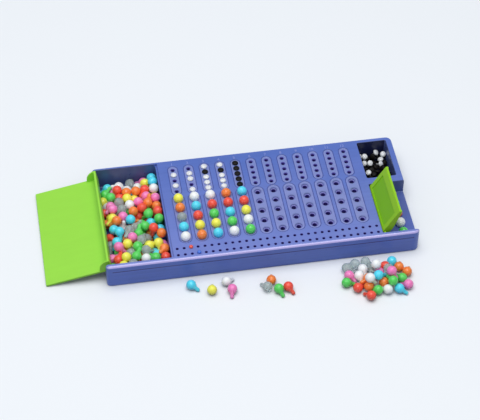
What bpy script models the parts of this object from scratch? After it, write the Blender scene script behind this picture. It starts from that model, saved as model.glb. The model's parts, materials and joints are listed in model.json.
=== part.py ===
"""Code breaking peg game: a one-piece tray with a peg bin and its flip lid, a board of twelve guesses,
a key-peg box, and a secret-code recess under a flip-up shield, with its pegs. Metres, +Z up. The tray's
underside lies on z = 0, its centre is the origin, X runs along the guesses and -Y is the players' front."""

import math
import random

import bmesh
import bpy
from mathutils import Matrix, Vector

MM = 0.001

# Play and overruns
GAP = 0.3 * MM
CUT_OVERRUN = 2.0 * MM

# Tray
TRAY_LENGTH = 261.0 * MM
TRAY_DEPTH = 115.0 * MM
DECK_HEIGHT = 22.0 * MM
DECK_THICKNESS = 2.0 * MM
WALL = 2.2 * MM
FLOOR_THICKNESS = 1.6 * MM
RAIL_THICKNESS = 4.0 * MM
RAIL_RISE = 0.8 * MM
FOOT_BEVEL = 1.2 * MM
LEFT_CORNER_RADIUS = 3.4 * MM
RIGHT_CORNER_RADIUS = 5.0 * MM
CORNER_STEPS = 4
GROOVE_DEPTH = 0.5 * MM
GROOVE_WIDTH = 1.0 * MM
GROOVE_HEIGHT = 16.2 * MM
GROOVE_END_INSET = 5.0 * MM
RIB_THICKNESS = 1.6 * MM

# Peg bin at the left end
BIN_LENGTH = 52.3 * MM
BIN_LEDGE_WIDTH = 1.6 * MM
BIN_SILL_DROP = 12.4 * MM

# Key-peg box at the back right
KEY_BOX_LENGTH = 25.2 * MM
KEY_BOX_SIDE_RIM = 5.3 * MM
KEY_BOX_BACK_RIM = 3.9 * MM
KEY_BOX_FRONT_RIM = 7.25 * MM

# Secret-code recess at the front right, open to the right end
RECESS_LENGTH = 30.8 * MM
RECESS_FLOOR_HEIGHT = 8.5 * MM

# Board of guesses: shares of its length run from bin to recess, and of its depth from back to rail
COLUMNS = 12
ROWS = 5
FIRST_COLUMN_SHARE = 0.07067
COLUMN_PITCH_SHARE = 0.07754
FIRST_SCORE_SHARE = 0.02128
SCORE_PITCH_SHARE = 0.03302
FIRST_KEY_SHARE = 0.1054
KEY_PITCH_SHARE = 0.0572
FIRST_CODE_SHARE = 0.427
CODE_PITCH_SHARE = 0.0991
FIRST_SCORE_ROW_SHARE = 0.92
SCORE_ROW_PITCH_SHARE = 0.063
SCORE_ROWS = 2
SCORE_HOLES = 30
FIELD_SINK = 0.35 * MM
KEY_FIELD_MARGIN = 1.05 * MM
CODE_FIELD_MARGIN = 0.55 * MM
FIELD_STEPS = 3
SECRET_INSET = 11.0 * MM
SECRET_FRONT_MARGIN = 4.45 * MM

# Holes
CODE_HOLE_RADIUS = 2.0 * MM
CODE_DISH_RADIUS = 3.5 * MM
CODE_DISH_DEPTH = 1.6 * MM
KEY_HOLE_RADIUS = 1.35 * MM
SCORE_HOLE_RADIUS = 1.15 * MM
CODE_HOLE_SIDES = 8
SMALL_HOLE_SIDES = 6

# Code peg
HEAD_RADIUS = 4.15 * MM
CODE_PEG_LENGTH = 12.5 * MM
CODE_NECK_RADIUS = 1.8 * MM
CODE_STEM_RADIUS = 1.6 * MM
CODE_NECK_DROP = 4.0 * MM
CODE_PEG_SIDES = 8
BALL_RING_ANGLES = (140, 90, 48)

# Key peg and the slimmer score peg
KEY_HEAD_RADIUS = 2.65 * MM
KEY_HEAD_HEIGHT = 1.5 * MM
KEY_STEM_RADIUS = 0.95 * MM
SCORE_HEAD_RADIUS = 1.75 * MM
SCORE_HEAD_HEIGHT = 1.8 * MM
SCORE_STEM_RADIUS = 0.8 * MM
KEY_STEM_LENGTH = 6.0 * MM
KEY_PEG_SIDES = 6
DOME_RING_ANGLES = (0, 50)

# Lid of the peg bin, hinged at the tray's left end
LID_THICKNESS = 2.0 * MM
LID_WALL_HEIGHT = 11.6 * MM
LID_CHEEK_RADIUS = 8.0 * MM
LID_CHEEK_THICKNESS = 1.5 * MM
LID_CHEEK_STEPS = 6
LID_FRONT_PLAY = 3.5 * MM
LID_BACK_PLAY = 0.5 * MM
LID_EDGE_PLAY = 0.5 * MM
LID_PIVOT_DROP = 5.5 * MM
LID_PIVOT_INSET = 2.2 * MM
LID_TABLE_GAP = 0.23 * MM

# Shield of the secret code
SHIELD_THICKNESS = 1.6 * MM
SHIELD_WALL = 1.5 * MM
SHIELD_HEIGHT = 6.0 * MM
SHIELD_FREE_HEIGHT = 2.2 * MM
SHIELD_FULL_REACH = 6.0 * MM
SHIELD_BARREL_RADIUS = 1.9 * MM
SHIELD_EDGE_RADIUS = 1.4 * MM
SHIELD_SIDE_STEPS = 4
SHIELD_FRONT_PLAY = 2.7 * MM
SHIELD_BACK_PLAY = 1.8 * MM
SHIELD_FINGER_GAP = 3.0 * MM
SHIELD_OPEN_ANGLE = math.radians(60.0)
FIELD_END_MARGIN = 4.2 * MM
FIELD_HINGE_MARGIN = 3.4 * MM
FIELD_FREE_MARGIN = 7.0 * MM
SHIELD_FIELD_SINK = 0.6 * MM

# Stub pins and their sockets
PIN_RADIUS = 0.9 * MM
PIN_PLAY = 0.25 * MM
PIN_ROOT = 0.7 * MM
PIN_ENGAGEMENT = 1.1 * MM
SOCKET_DEPTH = 1.5 * MM
PIN_SIDES = 8

# Loose pegs in the bin
HEAP_ROWS = 11
HEAP_COLUMNS = 4
HEAP_PLAY = 0.9 * MM
HEAP_FRONT_HEIGHT = 14.4 * MM
HEAP_BACK_HEIGHT = 8.4 * MM
HEAP_BED_DROP = 1.4 * MM
HEAP_SHELF_HEIGHT = 7.6 * MM
HEAP_JITTER = 0.8 * MM
HEAP_STEEPEST = math.radians(-55.0)
HEAP_SEED = 3

# Loose key pegs in their box
KEY_HEAP_ROWS = 6
KEY_HEAP_COLUMNS = 3
KEY_HEAP_HEIGHT = 6.0 * MM
KEY_HEAP_BED_DROP = 0.2 * MM
KEY_HEAP_JITTER = 0.6 * MM
KEY_HEAP_STEEPEST = math.radians(-70.0)
KEY_HEAP_LEVELLEST = math.radians(-12.0)
KEY_HEAP_SEED = 5

# Loose pegs on the table, in front of the tray
PILE_PEGS = 20
PILE_UPPER_PEGS = 6
PILE_SPREAD = 3.7 * MM
PILE_STRETCH_SHARE = 1.5
PILE_X = 88.0 * MM
PILE_FRONT_OFFSET = 30.5 * MM
PILE_UPPER_RISE = 5.0 * MM
PILE_LOWER_SHARE = 0.5
PILE_UPPER_SHARE = 0.8
PILE_BED_SIDES = 10
PILE_BED_EDGE = 3.0 * MM
PILE_BED_EDGE_SHARE = 0.96
PILE_BED_TOP = 6.0 * MM
PILE_BED_TOP_SHARE = 0.55
PILE_SEED = 8
GOLDEN_ANGLE = math.radians(137.5)
LOOSE_PEG_SIDES = 6
STAGGER_SHARE = 0.25
SETTLING_TRIES = 40

# Colours of the guesses, from the back row to the front row of each column
GUESSES = (
    ("yellow", "orange", "clear", "sky", "white"),
    ("white", "sky", "red", "yellow", "orange"),
    ("white", "red", "green", "yellow", "sky"),
    ("orange", "red", "sky", "green", "white"),
    ("sky", "red", "yellow", "white", "green"),
)
KEYS = (
    (None, "white", None, "white", None),
    (None, "white", "white", None, "white"),
    ("white", "black", "white", "white", "white"),
    ("white", "black", "white", "white", "white"),
    ("black", "black", "black", "black", "black"),
)
SECRET_CODE = ("green", "white", "orange", "sky", "yellow")
SCORES = ((0, 2, "red"), (1, 3, "blue"))

# Colour, roughness, share of light passed
FINISHES = {
    "tray blue": ((0.10, 0.15, 0.52), 0.38, 0.0),
    "lid lime": ((0.33, 0.72, 0.08), 0.40, 0.0),
    "shield green": ((0.18, 0.52, 0.03), 0.40, 0.0),
    "white": ((0.86, 0.86, 0.83), 0.35, 0.0),
    "black": ((0.012, 0.010, 0.009), 0.35, 0.0),
    "yellow": ((0.95, 0.76, 0.07), 0.35, 0.0),
    "orange": ((0.93, 0.19, 0.02), 0.35, 0.0),
    "red": ((0.82, 0.06, 0.03), 0.35, 0.0),
    "green": ((0.07, 0.52, 0.08), 0.35, 0.0),
    "sky": ((0.06, 0.47, 0.86), 0.35, 0.0),
    "blue": ((0.03, 0.12, 0.60), 0.35, 0.0),
    "pink": ((0.92, 0.16, 0.42), 0.35, 0.0),
    "clear": ((0.55, 0.60, 0.58), 0.20, 0.5),
}

# Places worked out from the sizes above
left = -TRAY_LENGTH / 2
right = TRAY_LENGTH / 2
front = -TRAY_DEPTH / 2
back = TRAY_DEPTH / 2
rail_inner = front + RAIL_THICKNESS
back_inner = back - WALL
bin_left = left + WALL
bin_right = bin_left + BIN_LENGTH
deck_left = bin_right + BIN_LEDGE_WIDTH
ledge_height = DECK_HEIGHT - LID_THICKNESS - GAP
sill_height = DECK_HEIGHT - BIN_SILL_DROP
recess_left = right - RECESS_LENGTH
board_length = recess_left - deck_left
board_depth = back - rail_inner
column_pitch = COLUMN_PITCH_SHARE * board_length
score_pitch = SCORE_PITCH_SHARE * board_length
key_pitch = KEY_PITCH_SHARE * board_depth
code_pitch = CODE_PITCH_SHARE * board_depth
score_row_pitch = SCORE_ROW_PITCH_SHARE * board_depth
first_column = deck_left + FIRST_COLUMN_SHARE * board_length
first_score_hole = deck_left + FIRST_SCORE_SHARE * board_length
first_key = back - FIRST_KEY_SHARE * board_depth
first_code = back - FIRST_CODE_SHARE * board_depth
first_score_row = back - FIRST_SCORE_ROW_SHARE * board_depth
code_field_radius = HEAD_RADIUS + CODE_FIELD_MARGIN
key_field_radius = KEY_HEAD_RADIUS + KEY_FIELD_MARGIN
secret_x = right - SECRET_INSET
secret_front = rail_inner + HEAD_RADIUS + SECRET_FRONT_MARGIN
recess_back = secret_front + (ROWS - 1) * code_pitch + HEAD_RADIUS + GAP
key_box_right = right - KEY_BOX_SIDE_RIM
key_box_left = key_box_right - KEY_BOX_LENGTH
key_box_back = back - KEY_BOX_BACK_RIM
key_box_front = recess_back + KEY_BOX_FRONT_RIM
deck_underside = DECK_HEIGHT - DECK_THICKNESS
hollow_left = bin_right + WALL
hollow_right = key_box_left - WALL
head_seat = math.sqrt(HEAD_RADIUS**2 - CODE_DISH_RADIUS**2) + GAP
lid_pivot = Vector((left + LID_PIVOT_INSET, 0.0, DECK_HEIGHT - LID_PIVOT_DROP))
lid_front = rail_inner + LID_FRONT_PLAY
lid_back = back_inner - LID_BACK_PLAY
lid_free = deck_left - LID_EDGE_PLAY
lid_reach = math.hypot(lid_free - lid_pivot.x, LID_PIVOT_DROP)
lid_lean = math.asin(LID_PIVOT_DROP / lid_reach)
lid_open_angle = math.pi + math.asin((lid_pivot.z - LID_TABLE_GAP) / lid_reach) - lid_lean
shield_pivot = Vector(
    (recess_left + SHIELD_BARREL_RADIUS + GAP, 0.0, DECK_HEIGHT - SHIELD_BARREL_RADIUS)
)
shield_front = rail_inner + SHIELD_FRONT_PLAY
shield_back = recess_back - SHIELD_BACK_PLAY
shield_free = right - SHIELD_FINGER_GAP - shield_pivot.x


def material(name):
    made = bpy.data.materials.get(name)
    if made is None:
        colour, roughness, passed = FINISHES[name]
        made = bpy.data.materials.new(name)
        made.use_nodes = True
        shader = made.node_tree.nodes["Principled BSDF"]
        shader.inputs["Base Color"].default_value = (*colour, 1.0)
        shader.inputs["Roughness"].default_value = roughness
        shader.inputs["Transmission Weight"].default_value = passed
        made.diffuse_color = (*colour, 1.0)
    return made


def new_object(name, mesh, finish=None, smooth=False):
    """An object at the origin; a piece without a finish is a cutter or a guide."""
    made = bpy.data.objects.new(name, mesh)
    bpy.context.scene.collection.objects.link(made)
    if finish is None:
        made.hide_render = True
        made.display_type = "WIRE"
    else:
        mesh.materials.append(material(finish))
    if smooth:
        mesh.shade_smooth()
    return made


def mesh_of(name, build, *arguments):
    """A mesh that the given function fills."""
    bm = bmesh.new()
    build(bm, *arguments)
    bmesh.ops.recalc_face_normals(bm, faces=bm.faces)
    mesh = bpy.data.meshes.new(name)
    bm.to_mesh(mesh)
    bm.free()
    return mesh


def loft(bm, rings, matrix=Matrix()):
    """Closed skin over rings of points with as many points each, with flat ends."""
    loops = [[bm.verts.new(matrix @ Vector(point)) for point in ring] for ring in rings]
    count = len(loops[0])
    for lower, upper in zip(loops, loops[1:]):
        for i in range(count):
            j = (i + 1) % count
            bm.faces.new((lower[i], lower[j], upper[j], upper[i]))
    bm.faces.new(list(reversed(loops[0])))
    bm.faces.new(loops[-1])


def turned(bm, profile, sides, matrix=Matrix()):
    """Solid turned about Z from (radius, height) points; a radius of zero is a pole."""
    rings = []
    for radius, height in profile:
        if radius == 0:
            rings.append([bm.verts.new(matrix @ Vector((0, 0, height)))])
            continue
        angles = (2 * math.pi * i / sides for i in range(sides))
        rings.append(
            [bm.verts.new(matrix @ Vector((radius * math.cos(a), radius * math.sin(a), height)))
             for a in angles]
        )
    for lower, upper in zip(rings, rings[1:]):
        for i in range(sides):
            j = (i + 1) % sides
            corners = [lower[i % len(lower)], lower[j % len(lower)],
                       upper[j % len(upper)], upper[i % len(upper)]]
            bm.faces.new(list(dict.fromkeys(corners)))
    for ring in (rings[0], rings[-1]):
        if len(ring) > 1:
            bm.faces.new(ring)


def box(bm, low, high):
    xs, ys, zs = zip(low, high)
    outline = [(xs[0], ys[0]), (xs[1], ys[0]), (xs[1], ys[1]), (xs[0], ys[1])]
    loft(bm, [[(x, y, z) for x, y in outline] for z in zs])


def arc(centre, radius, start, end, steps):
    """Points of an arc, ends included."""
    angles = (start + (end - start) * i / steps for i in range(steps + 1))
    return [(centre[0] + radius * math.cos(a), centre[1] + radius * math.sin(a)) for a in angles]


def tray_outline(inset):
    """The tray's plan, drawn in by inset, from the front left corner round."""
    corners = (
        (left, front, LEFT_CORNER_RADIUS, 1, 1),
        (right, front, RIGHT_CORNER_RADIUS, -1, 1),
        (right, back, RIGHT_CORNER_RADIUS, -1, -1),
        (left, back, LEFT_CORNER_RADIUS, 1, -1),
    )
    points = []
    for number, (x, y, radius, side_x, side_y) in enumerate(corners):
        centre = (x + side_x * radius, y + side_y * radius)
        start = math.pi + number * math.pi / 2
        points += arc(centre, radius - inset, start, start + math.pi / 2, CORNER_STEPS)
    return points


def stadium(centre_x, y_from, y_to, radius):
    return arc((centre_x, y_to), radius, 0, math.pi, FIELD_STEPS) + arc(
        (centre_x, y_from), radius, math.pi, 2 * math.pi, FIELD_STEPS
    )


def key_places():
    return [(c, r, first_column + c * column_pitch, first_key - r * key_pitch)
            for c in range(COLUMNS) for r in range(ROWS)]


def code_places():
    return [(c, r, first_column + c * column_pitch, first_code - r * code_pitch)
            for c in range(COLUMNS) for r in range(ROWS)]


def score_place(row, hole):
    return first_score_hole + hole * score_pitch, first_score_row - row * score_row_pitch


def secret_places():
    """The five holes of the secret code, front to back."""
    return [(secret_x, secret_front + r * code_pitch) for r in range(ROWS)]


def across_flats(radius, sides):
    """The corner radius of a regular polygon that a circle of this radius fits."""
    return radius / math.cos(math.pi / sides)


def peg_hole(bm, x, y, top, bottom, radius, sides):
    corner = across_flats(radius, sides)
    turned(bm, [(corner, bottom), (corner, top)], sides, Matrix.Translation((x, y, 0)))


def dished_hole(bm, x, y, surface, underside):
    """A code-peg hole with the dish that its ball head rests in."""
    corner = across_flats(CODE_HOLE_RADIUS, CODE_HOLE_SIDES)
    slope = (CODE_DISH_RADIUS - corner) / CODE_DISH_DEPTH
    profile = [
        (corner, underside - CUT_OVERRUN),
        (corner, surface - CODE_DISH_DEPTH),
        (CODE_DISH_RADIUS + slope * FIELD_SINK, surface + FIELD_SINK),
    ]
    turned(bm, profile, CODE_HOLE_SIDES, Matrix.Translation((x, y, 0)))


def socket(bm, x, y, z, direction):
    """A blind hole for a stub pin, sunk from a wall's face along +Y or -Y."""
    corner = across_flats(PIN_RADIUS + PIN_PLAY, PIN_SIDES)
    ends = sorted((y - direction * CUT_OVERRUN, y + direction * SOCKET_DEPTH))
    turn = Matrix.Translation((x, 0, z)) @ Matrix.Rotation(-math.pi / 2, 4, "X")
    turned(bm, [(corner, ends[0]), (corner, ends[1])], PIN_SIDES, turn)


def tray_body(bm):
    rings = (
        (FOOT_BEVEL, 0.0),
        (0.0, FOOT_BEVEL),
        (0.0, DECK_HEIGHT),
        (RAIL_RISE, DECK_HEIGHT + RAIL_RISE),
    )
    loft(bm, [[(x, y, z) for x, y in tray_outline(inset)] for inset, z in rings])


def tray_relief(bm):
    """What stands above the deck behind the rail."""
    over = CUT_OVERRUN
    box(bm, (left - over, rail_inner, DECK_HEIGHT), (right + over, back + over, DECK_HEIGHT + over))


def tray_pockets(bm):
    over = CUT_OVERRUN
    top = DECK_HEIGHT + over
    box(bm, (bin_left, rail_inner, FLOOR_THICKNESS), (bin_right, back_inner, top))
    box(bm, (key_box_left, key_box_front, FLOOR_THICKNESS), (key_box_right, key_box_back, top))
    box(bm, (recess_left, rail_inner, RECESS_FLOOR_HEIGHT), (right + over, recess_back, top))
    for x_from, x_to in ((hollow_left, -RIB_THICKNESS / 2), (RIB_THICKNESS / 2, hollow_right)):
        box(bm, (x_from, rail_inner, -over), (x_to, back_inner, deck_underside))


def tray_lid_seat(bm):
    """The ledge under the lid's free edge, and the low sill at the left end."""
    over = CUT_OVERRUN
    top = DECK_HEIGHT + over
    box(bm, (bin_right - over, rail_inner, ledge_height), (deck_left, back_inner, top))
    box(bm, (left - over, rail_inner, sill_height), (bin_left + over, back_inner, top))


def tray_low_hollow(bm):
    """The hollow under the secret-code recess, open to the hollow under the deck."""
    low = (hollow_right - WALL, rail_inner, -CUT_OVERRUN)
    box(bm, low, (right - WALL, recess_back, RECESS_FLOOR_HEIGHT - DECK_THICKNESS))


def tray_front_groove(bm):
    low = (left + GROOVE_END_INSET, front - CUT_OVERRUN, GROOVE_HEIGHT)
    box(bm, low, (right - GROOVE_END_INSET, front + GROOVE_DEPTH, GROOVE_HEIGHT + GROOVE_WIDTH))


def board_fields(bm):
    """The sunk round-ended field of each guess's keys and code."""
    for column in range(COLUMNS):
        x = first_column + column * column_pitch
        runs = ((first_key, key_pitch, key_field_radius), (first_code, code_pitch, code_field_radius))
        for start, pitch, radius in runs:
            outline = stadium(x, start - (ROWS - 1) * pitch, start, radius)
            levels = (DECK_HEIGHT - FIELD_SINK, DECK_HEIGHT + CUT_OVERRUN)
            loft(bm, [[(px, py, z) for px, py in outline] for z in levels])


def board_holes(bm):
    over = CUT_OVERRUN
    field = DECK_HEIGHT - FIELD_SINK
    for _, _, x, y in key_places():
        peg_hole(bm, x, y, DECK_HEIGHT + over, deck_underside - over, KEY_HOLE_RADIUS, SMALL_HOLE_SIDES)
    for _, _, x, y in code_places():
        dished_hole(bm, x, y, field, deck_underside)
    for row in range(SCORE_ROWS):
        for hole in range(SCORE_HOLES):
            x, y = score_place(row, hole)
            peg_hole(
                bm, x, y, DECK_HEIGHT + over, deck_underside - over, SCORE_HOLE_RADIUS, SMALL_HOLE_SIDES
            )
    for x, y in secret_places():
        dished_hole(bm, x, y, RECESS_FLOOR_HEIGHT, RECESS_FLOOR_HEIGHT - DECK_THICKNESS)


def hinge_sockets(bm):
    socket(bm, lid_pivot.x, rail_inner, lid_pivot.z, -1)
    socket(bm, lid_pivot.x, back_inner, lid_pivot.z, 1)
    socket(bm, shield_pivot.x, rail_inner, shield_pivot.z, -1)
    socket(bm, shield_pivot.x, recess_back, shield_pivot.z, 1)


def cut(body, *builders):
    for build in builders:
        cutter = new_object(build.__name__ + "_cutter", mesh_of(build.__name__, build))
        modifier = body.modifiers.new(build.__name__, "BOOLEAN")
        modifier.operation = "DIFFERENCE"
        modifier.object = cutter


def make_tray():
    tray = new_object("tray", mesh_of("tray", tray_body), "tray blue")
    cut(tray, tray_relief, tray_pockets, tray_lid_seat, tray_low_hollow, tray_front_groove)
    cut(tray, board_fields, board_holes, hinge_sockets)


def pin(bm, x, y, z, direction, play):
    """A stub pin from an end face at y across the play into its socket."""
    length = play + PIN_ENGAGEMENT
    ends = sorted((y - direction * PIN_ROOT, y + direction * length))
    turn = Matrix.Translation((x, 0, z)) @ Matrix.Rotation(-math.pi / 2, 4, "X")
    turned(bm, [(PIN_RADIUS, ends[0]), (PIN_RADIUS, ends[1])], PIN_SIDES, turn)


def prism_along_y(bm, outline, y_from, y_to):
    loft(bm, [[(x, y, z) for x, z in outline] for y in (y_from, y_to)])


def union(body, name, build, *arguments):
    guide = new_object(name, mesh_of(name, build, *arguments))
    modifier = body.modifiers.new(name, "BOOLEAN")
    modifier.operation = "UNION"
    modifier.object = guide


def lid_shell(bm):
    """Panel and end wall of the lid, closed, about its pivot."""
    x, z = left - lid_pivot.x, DECK_HEIGHT - lid_pivot.z
    free = lid_free - lid_pivot.x
    outline = [
        (x, z),
        (x, z - LID_WALL_HEIGHT),
        (x + LID_THICKNESS, z - LID_WALL_HEIGHT),
        (x + LID_THICKNESS, z - LID_THICKNESS),
        (free, z - LID_THICKNESS),
        (free, z),
    ]
    prism_along_y(bm, outline, lid_front, lid_back)


def lid_cheeks(bm):
    """The quarter-round cheek at each end, between panel and end wall."""
    x = left - lid_pivot.x + LID_THICKNESS / 2
    z = DECK_HEIGHT - lid_pivot.z - LID_THICKNESS / 2
    drop = LID_WALL_HEIGHT - LID_THICKNESS / 2
    reach = LID_CHEEK_RADIUS + LID_THICKNESS / 2
    angles = (math.pi / 2 * i / LID_CHEEK_STEPS for i in range(LID_CHEEK_STEPS + 1))
    outline = [(x, z)] + [(x + reach * math.cos(a), z - drop * math.sin(a)) for a in angles]
    for start in (lid_front, lid_back - LID_CHEEK_THICKNESS):
        prism_along_y(bm, outline, start, start + LID_CHEEK_THICKNESS)


def lid_pins(bm):
    pin(bm, 0.0, lid_front, 0.0, -1, LID_FRONT_PLAY)
    pin(bm, 0.0, lid_back, 0.0, 1, LID_BACK_PLAY)


def make_lid():
    lid = new_object("storage_lid", mesh_of("storage_lid", lid_shell), "lid lime")
    guides = [("lid_cheeks", lid_cheeks), ("lid_pins", lid_pins)]
    for name, build in guides:
        union(lid, name, build)
    for part in (lid, bpy.data.objects["lid_cheeks"], bpy.data.objects["lid_pins"]):
        part.location = lid_pivot
        part.rotation_euler = (0, -lid_open_angle, 0)


def shield_shell(bm):
    """The shield's outside, closed, about its pivot, thinner towards its free edge."""
    barrel, edge = SHIELD_BARREL_RADIUS, SHIELD_EDGE_RADIUS
    low = barrel - SHIELD_HEIGHT
    outline = (
        [(-barrel, low), (SHIELD_FULL_REACH, low), (shield_free, barrel - SHIELD_FREE_HEIGHT)]
        + arc((shield_free - edge, barrel - edge), edge, 0, math.pi / 2, SHIELD_SIDE_STEPS)
        + arc((0.0, 0.0), barrel, math.pi / 2, math.pi, SHIELD_SIDE_STEPS)
    )
    prism_along_y(bm, outline, shield_front, shield_back)


def shield_hollow(bm):
    """The open underside between the two end walls, out past the free edge."""
    barrel, wall = SHIELD_BARREL_RADIUS, SHIELD_WALL
    low = (-barrel + wall, shield_front + wall, barrel - SHIELD_HEIGHT - CUT_OVERRUN)
    box(bm, low, (shield_free + CUT_OVERRUN, shield_back - wall, barrel - SHIELD_THICKNESS))


def shield_field(bm):
    barrel = SHIELD_BARREL_RADIUS
    low = (-barrel + FIELD_HINGE_MARGIN, shield_front + FIELD_END_MARGIN, barrel - SHIELD_FIELD_SINK)
    high = (shield_free - FIELD_FREE_MARGIN, shield_back - FIELD_END_MARGIN, barrel + CUT_OVERRUN)
    box(bm, low, high)


def shield_pins(bm):
    pin(bm, 0.0, shield_front, 0.0, -1, SHIELD_FRONT_PLAY)
    pin(bm, 0.0, shield_back, 0.0, 1, SHIELD_BACK_PLAY)


def make_shield():
    shield = new_object("code_shield", mesh_of("code_shield", shield_shell), "shield green")
    cut(shield, shield_hollow, shield_field)
    union(shield, "shield_pins", shield_pins)
    helpers = ("shield_hollow_cutter", "shield_field_cutter", "shield_pins")
    for part in [shield] + [bpy.data.objects[name] for name in helpers]:
        part.location = shield_pivot
        part.rotation_euler = (0, -SHIELD_OPEN_ANGLE, 0)


def code_peg_profile():
    """Ball head about the origin, tapering through a neck to the stem."""
    tip = HEAD_RADIUS - CODE_PEG_LENGTH
    stem = [(CODE_STEM_RADIUS, tip), (CODE_NECK_RADIUS, -CODE_NECK_DROP)]
    ball = [(HEAD_RADIUS * math.sin(a), HEAD_RADIUS * math.cos(a))
            for a in map(math.radians, BALL_RING_ANGLES)]
    return stem + ball + [(0, HEAD_RADIUS)]


def key_peg_profile(head_radius, head_height, stem_radius):
    """Domed head with its underside at the origin, on a plain stem."""
    dome = [(head_radius * math.cos(a), head_height * math.sin(a))
            for a in map(math.radians, DOME_RING_ANGLES)]
    return [(stem_radius, -KEY_STEM_LENGTH), (stem_radius, 0)] + dome + [(0, head_height)]


def place_peg(name, profile, sides, colour, place):
    mesh = bpy.data.meshes.get(f"{profile.__name__}_{colour}")
    if mesh is None:
        mesh = mesh_of(f"{profile.__name__}_{colour}", turned, profile(), sides)
        mesh.materials.append(material(colour))
        mesh.shade_smooth()
    peg = bpy.data.objects.new(name, mesh)
    bpy.context.scene.collection.objects.link(peg)
    peg.location = place


def key_peg():
    return key_peg_profile(KEY_HEAD_RADIUS, KEY_HEAD_HEIGHT, KEY_STEM_RADIUS)


def score_peg():
    return key_peg_profile(SCORE_HEAD_RADIUS, SCORE_HEAD_HEIGHT, SCORE_STEM_RADIUS)


def make_seated_pegs():
    """Every peg that stands in a hole, each its own object."""
    field = DECK_HEIGHT - FIELD_SINK
    for column, row, x, y in code_places()[: ROWS * len(GUESSES)]:
        place = (x, y, field + head_seat)
        name = f"code_peg_{column + 1}_{row + 1}"
        place_peg(name, code_peg_profile, CODE_PEG_SIDES, GUESSES[column][row], place)
    for number, (x, y) in enumerate(secret_places()):
        place = (x, y, RECESS_FLOOR_HEIGHT + head_seat)
        name = f"secret_peg_{number + 1}"
        place_peg(name, code_peg_profile, CODE_PEG_SIDES, SECRET_CODE[number], place)
    for column, row, x, y in key_places()[: ROWS * len(KEYS)]:
        if KEYS[column][row]:
            name = f"key_peg_{column + 1}_{row + 1}"
            place_peg(name, key_peg, KEY_PEG_SIDES, KEYS[column][row], (x, y, field + GAP))
    for row, hole, colour in SCORES:
        x, y = score_place(row, hole)
        place_peg(f"score_peg_{row + 1}", score_peg, KEY_PEG_SIDES, colour, (x, y, DECK_HEIGHT + GAP))


def lying(place, yaw, tilt):
    """Turns a peg's stem, which hangs down, to point along yaw, raised by tilt, from a place."""
    turn = Matrix.Rotation(yaw, 4, "Z") @ Matrix.Rotation(-math.pi / 2 - tilt, 4, "Y")
    return Matrix.Translation(place) @ turn


def stem_tip(place, yaw, tilt, length):
    flat = length * math.cos(tilt)
    return (place[0] + flat * math.cos(yaw), place[1] + flat * math.sin(yaw),
            place[2] + length * math.sin(tilt))


def inside(point, low, high, radius):
    return all(low[i] + radius < point[i] < high[i] - radius for i in range(len(low)))


def settled(dice, place, low, high, peg, tilts):
    """A yaw and a tilt that keep the stem's tip within low and high; straight down if none is found."""
    length, radius = peg
    for _ in range(SETTLING_TRIES):
        yaw = dice.uniform(-math.pi, math.pi)
        tilt = dice.uniform(*tilts)
        if inside(stem_tip(place, yaw, tilt, length), low, high, radius):
            return yaw, tilt
    return 0.0, -math.pi / 2


def staggered(dice, low, high, rows, columns, reach, jitter):
    """Shaken places in staggered rows over a plan, each with its share of the way to the back."""
    places = []
    for row in range(rows):
        share = row / (rows - 1)
        for column in range(columns):
            across = (column + STAGGER_SHARE + 2 * STAGGER_SHARE * (row % 2)) / columns
            x = low[0] + reach + across * (high[0] - low[0] - 2 * reach)
            y = low[1] + reach + share * (high[1] - low[1] - 2 * reach)
            places.append((x + dice.uniform(-jitter, jitter), y + dice.uniform(-jitter, jitter), share))
    return places


def heap_room():
    """Low and high corner of the bin's heap, clear of the lid's wall where that swings past."""
    sweep = math.hypot(LID_PIVOT_INSET, LID_WALL_HEIGHT - LID_PIVOT_DROP)
    low = (lid_pivot.x + sweep + HEAP_PLAY, rail_inner + HEAP_PLAY, FLOOR_THICKNESS + GAP)
    return low, (bin_right - HEAP_PLAY, back_inner - HEAP_PLAY, ledge_height - HEAP_PLAY)


def heap_pegs(bm):
    """The pegs on top of the heap, which falls towards the back."""
    dice = random.Random(HEAP_SEED)
    low, high = heap_room()
    peg = (CODE_PEG_LENGTH - HEAD_RADIUS, CODE_NECK_RADIUS)
    spots = staggered(dice, low, high, HEAP_ROWS, HEAP_COLUMNS, HEAD_RADIUS + HEAP_JITTER, HEAP_JITTER)
    for x, y, share in spots:
        height = HEAP_FRONT_HEIGHT + share * (HEAP_BACK_HEIGHT - HEAP_FRONT_HEIGHT)
        place = (x, y, height)
        yaw, tilt = settled(dice, place, low, high, peg, (HEAP_STEEPEST, 0))
        turned(bm, code_peg_profile(), LOOSE_PEG_SIDES, lying(place, yaw, tilt))


def heap_bed(bm):
    """The pegs below them as one bed, with a low shelf where the lid's wall swings past."""
    low, high = heap_room()
    shelf_left = bin_left + HEAP_PLAY
    rings = []
    for y, height in ((low[1], HEAP_FRONT_HEIGHT), (high[1], HEAP_BACK_HEIGHT)):
        top = height - HEAP_BED_DROP
        shelf = min(HEAP_SHELF_HEIGHT, top - GAP)
        outline = [(shelf_left, low[2]), (high[0], low[2]), (high[0], top), (low[0], top),
                   (low[0], shelf), (shelf_left, shelf)]
        rings.append([(x, y, z) for x, z in outline])
    loft(bm, rings)


def key_heap_room():
    low = (key_box_left + HEAP_PLAY, key_box_front + HEAP_PLAY, FLOOR_THICKNESS + GAP)
    return low, (key_box_right - HEAP_PLAY, key_box_back - HEAP_PLAY, DECK_HEIGHT)


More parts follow.
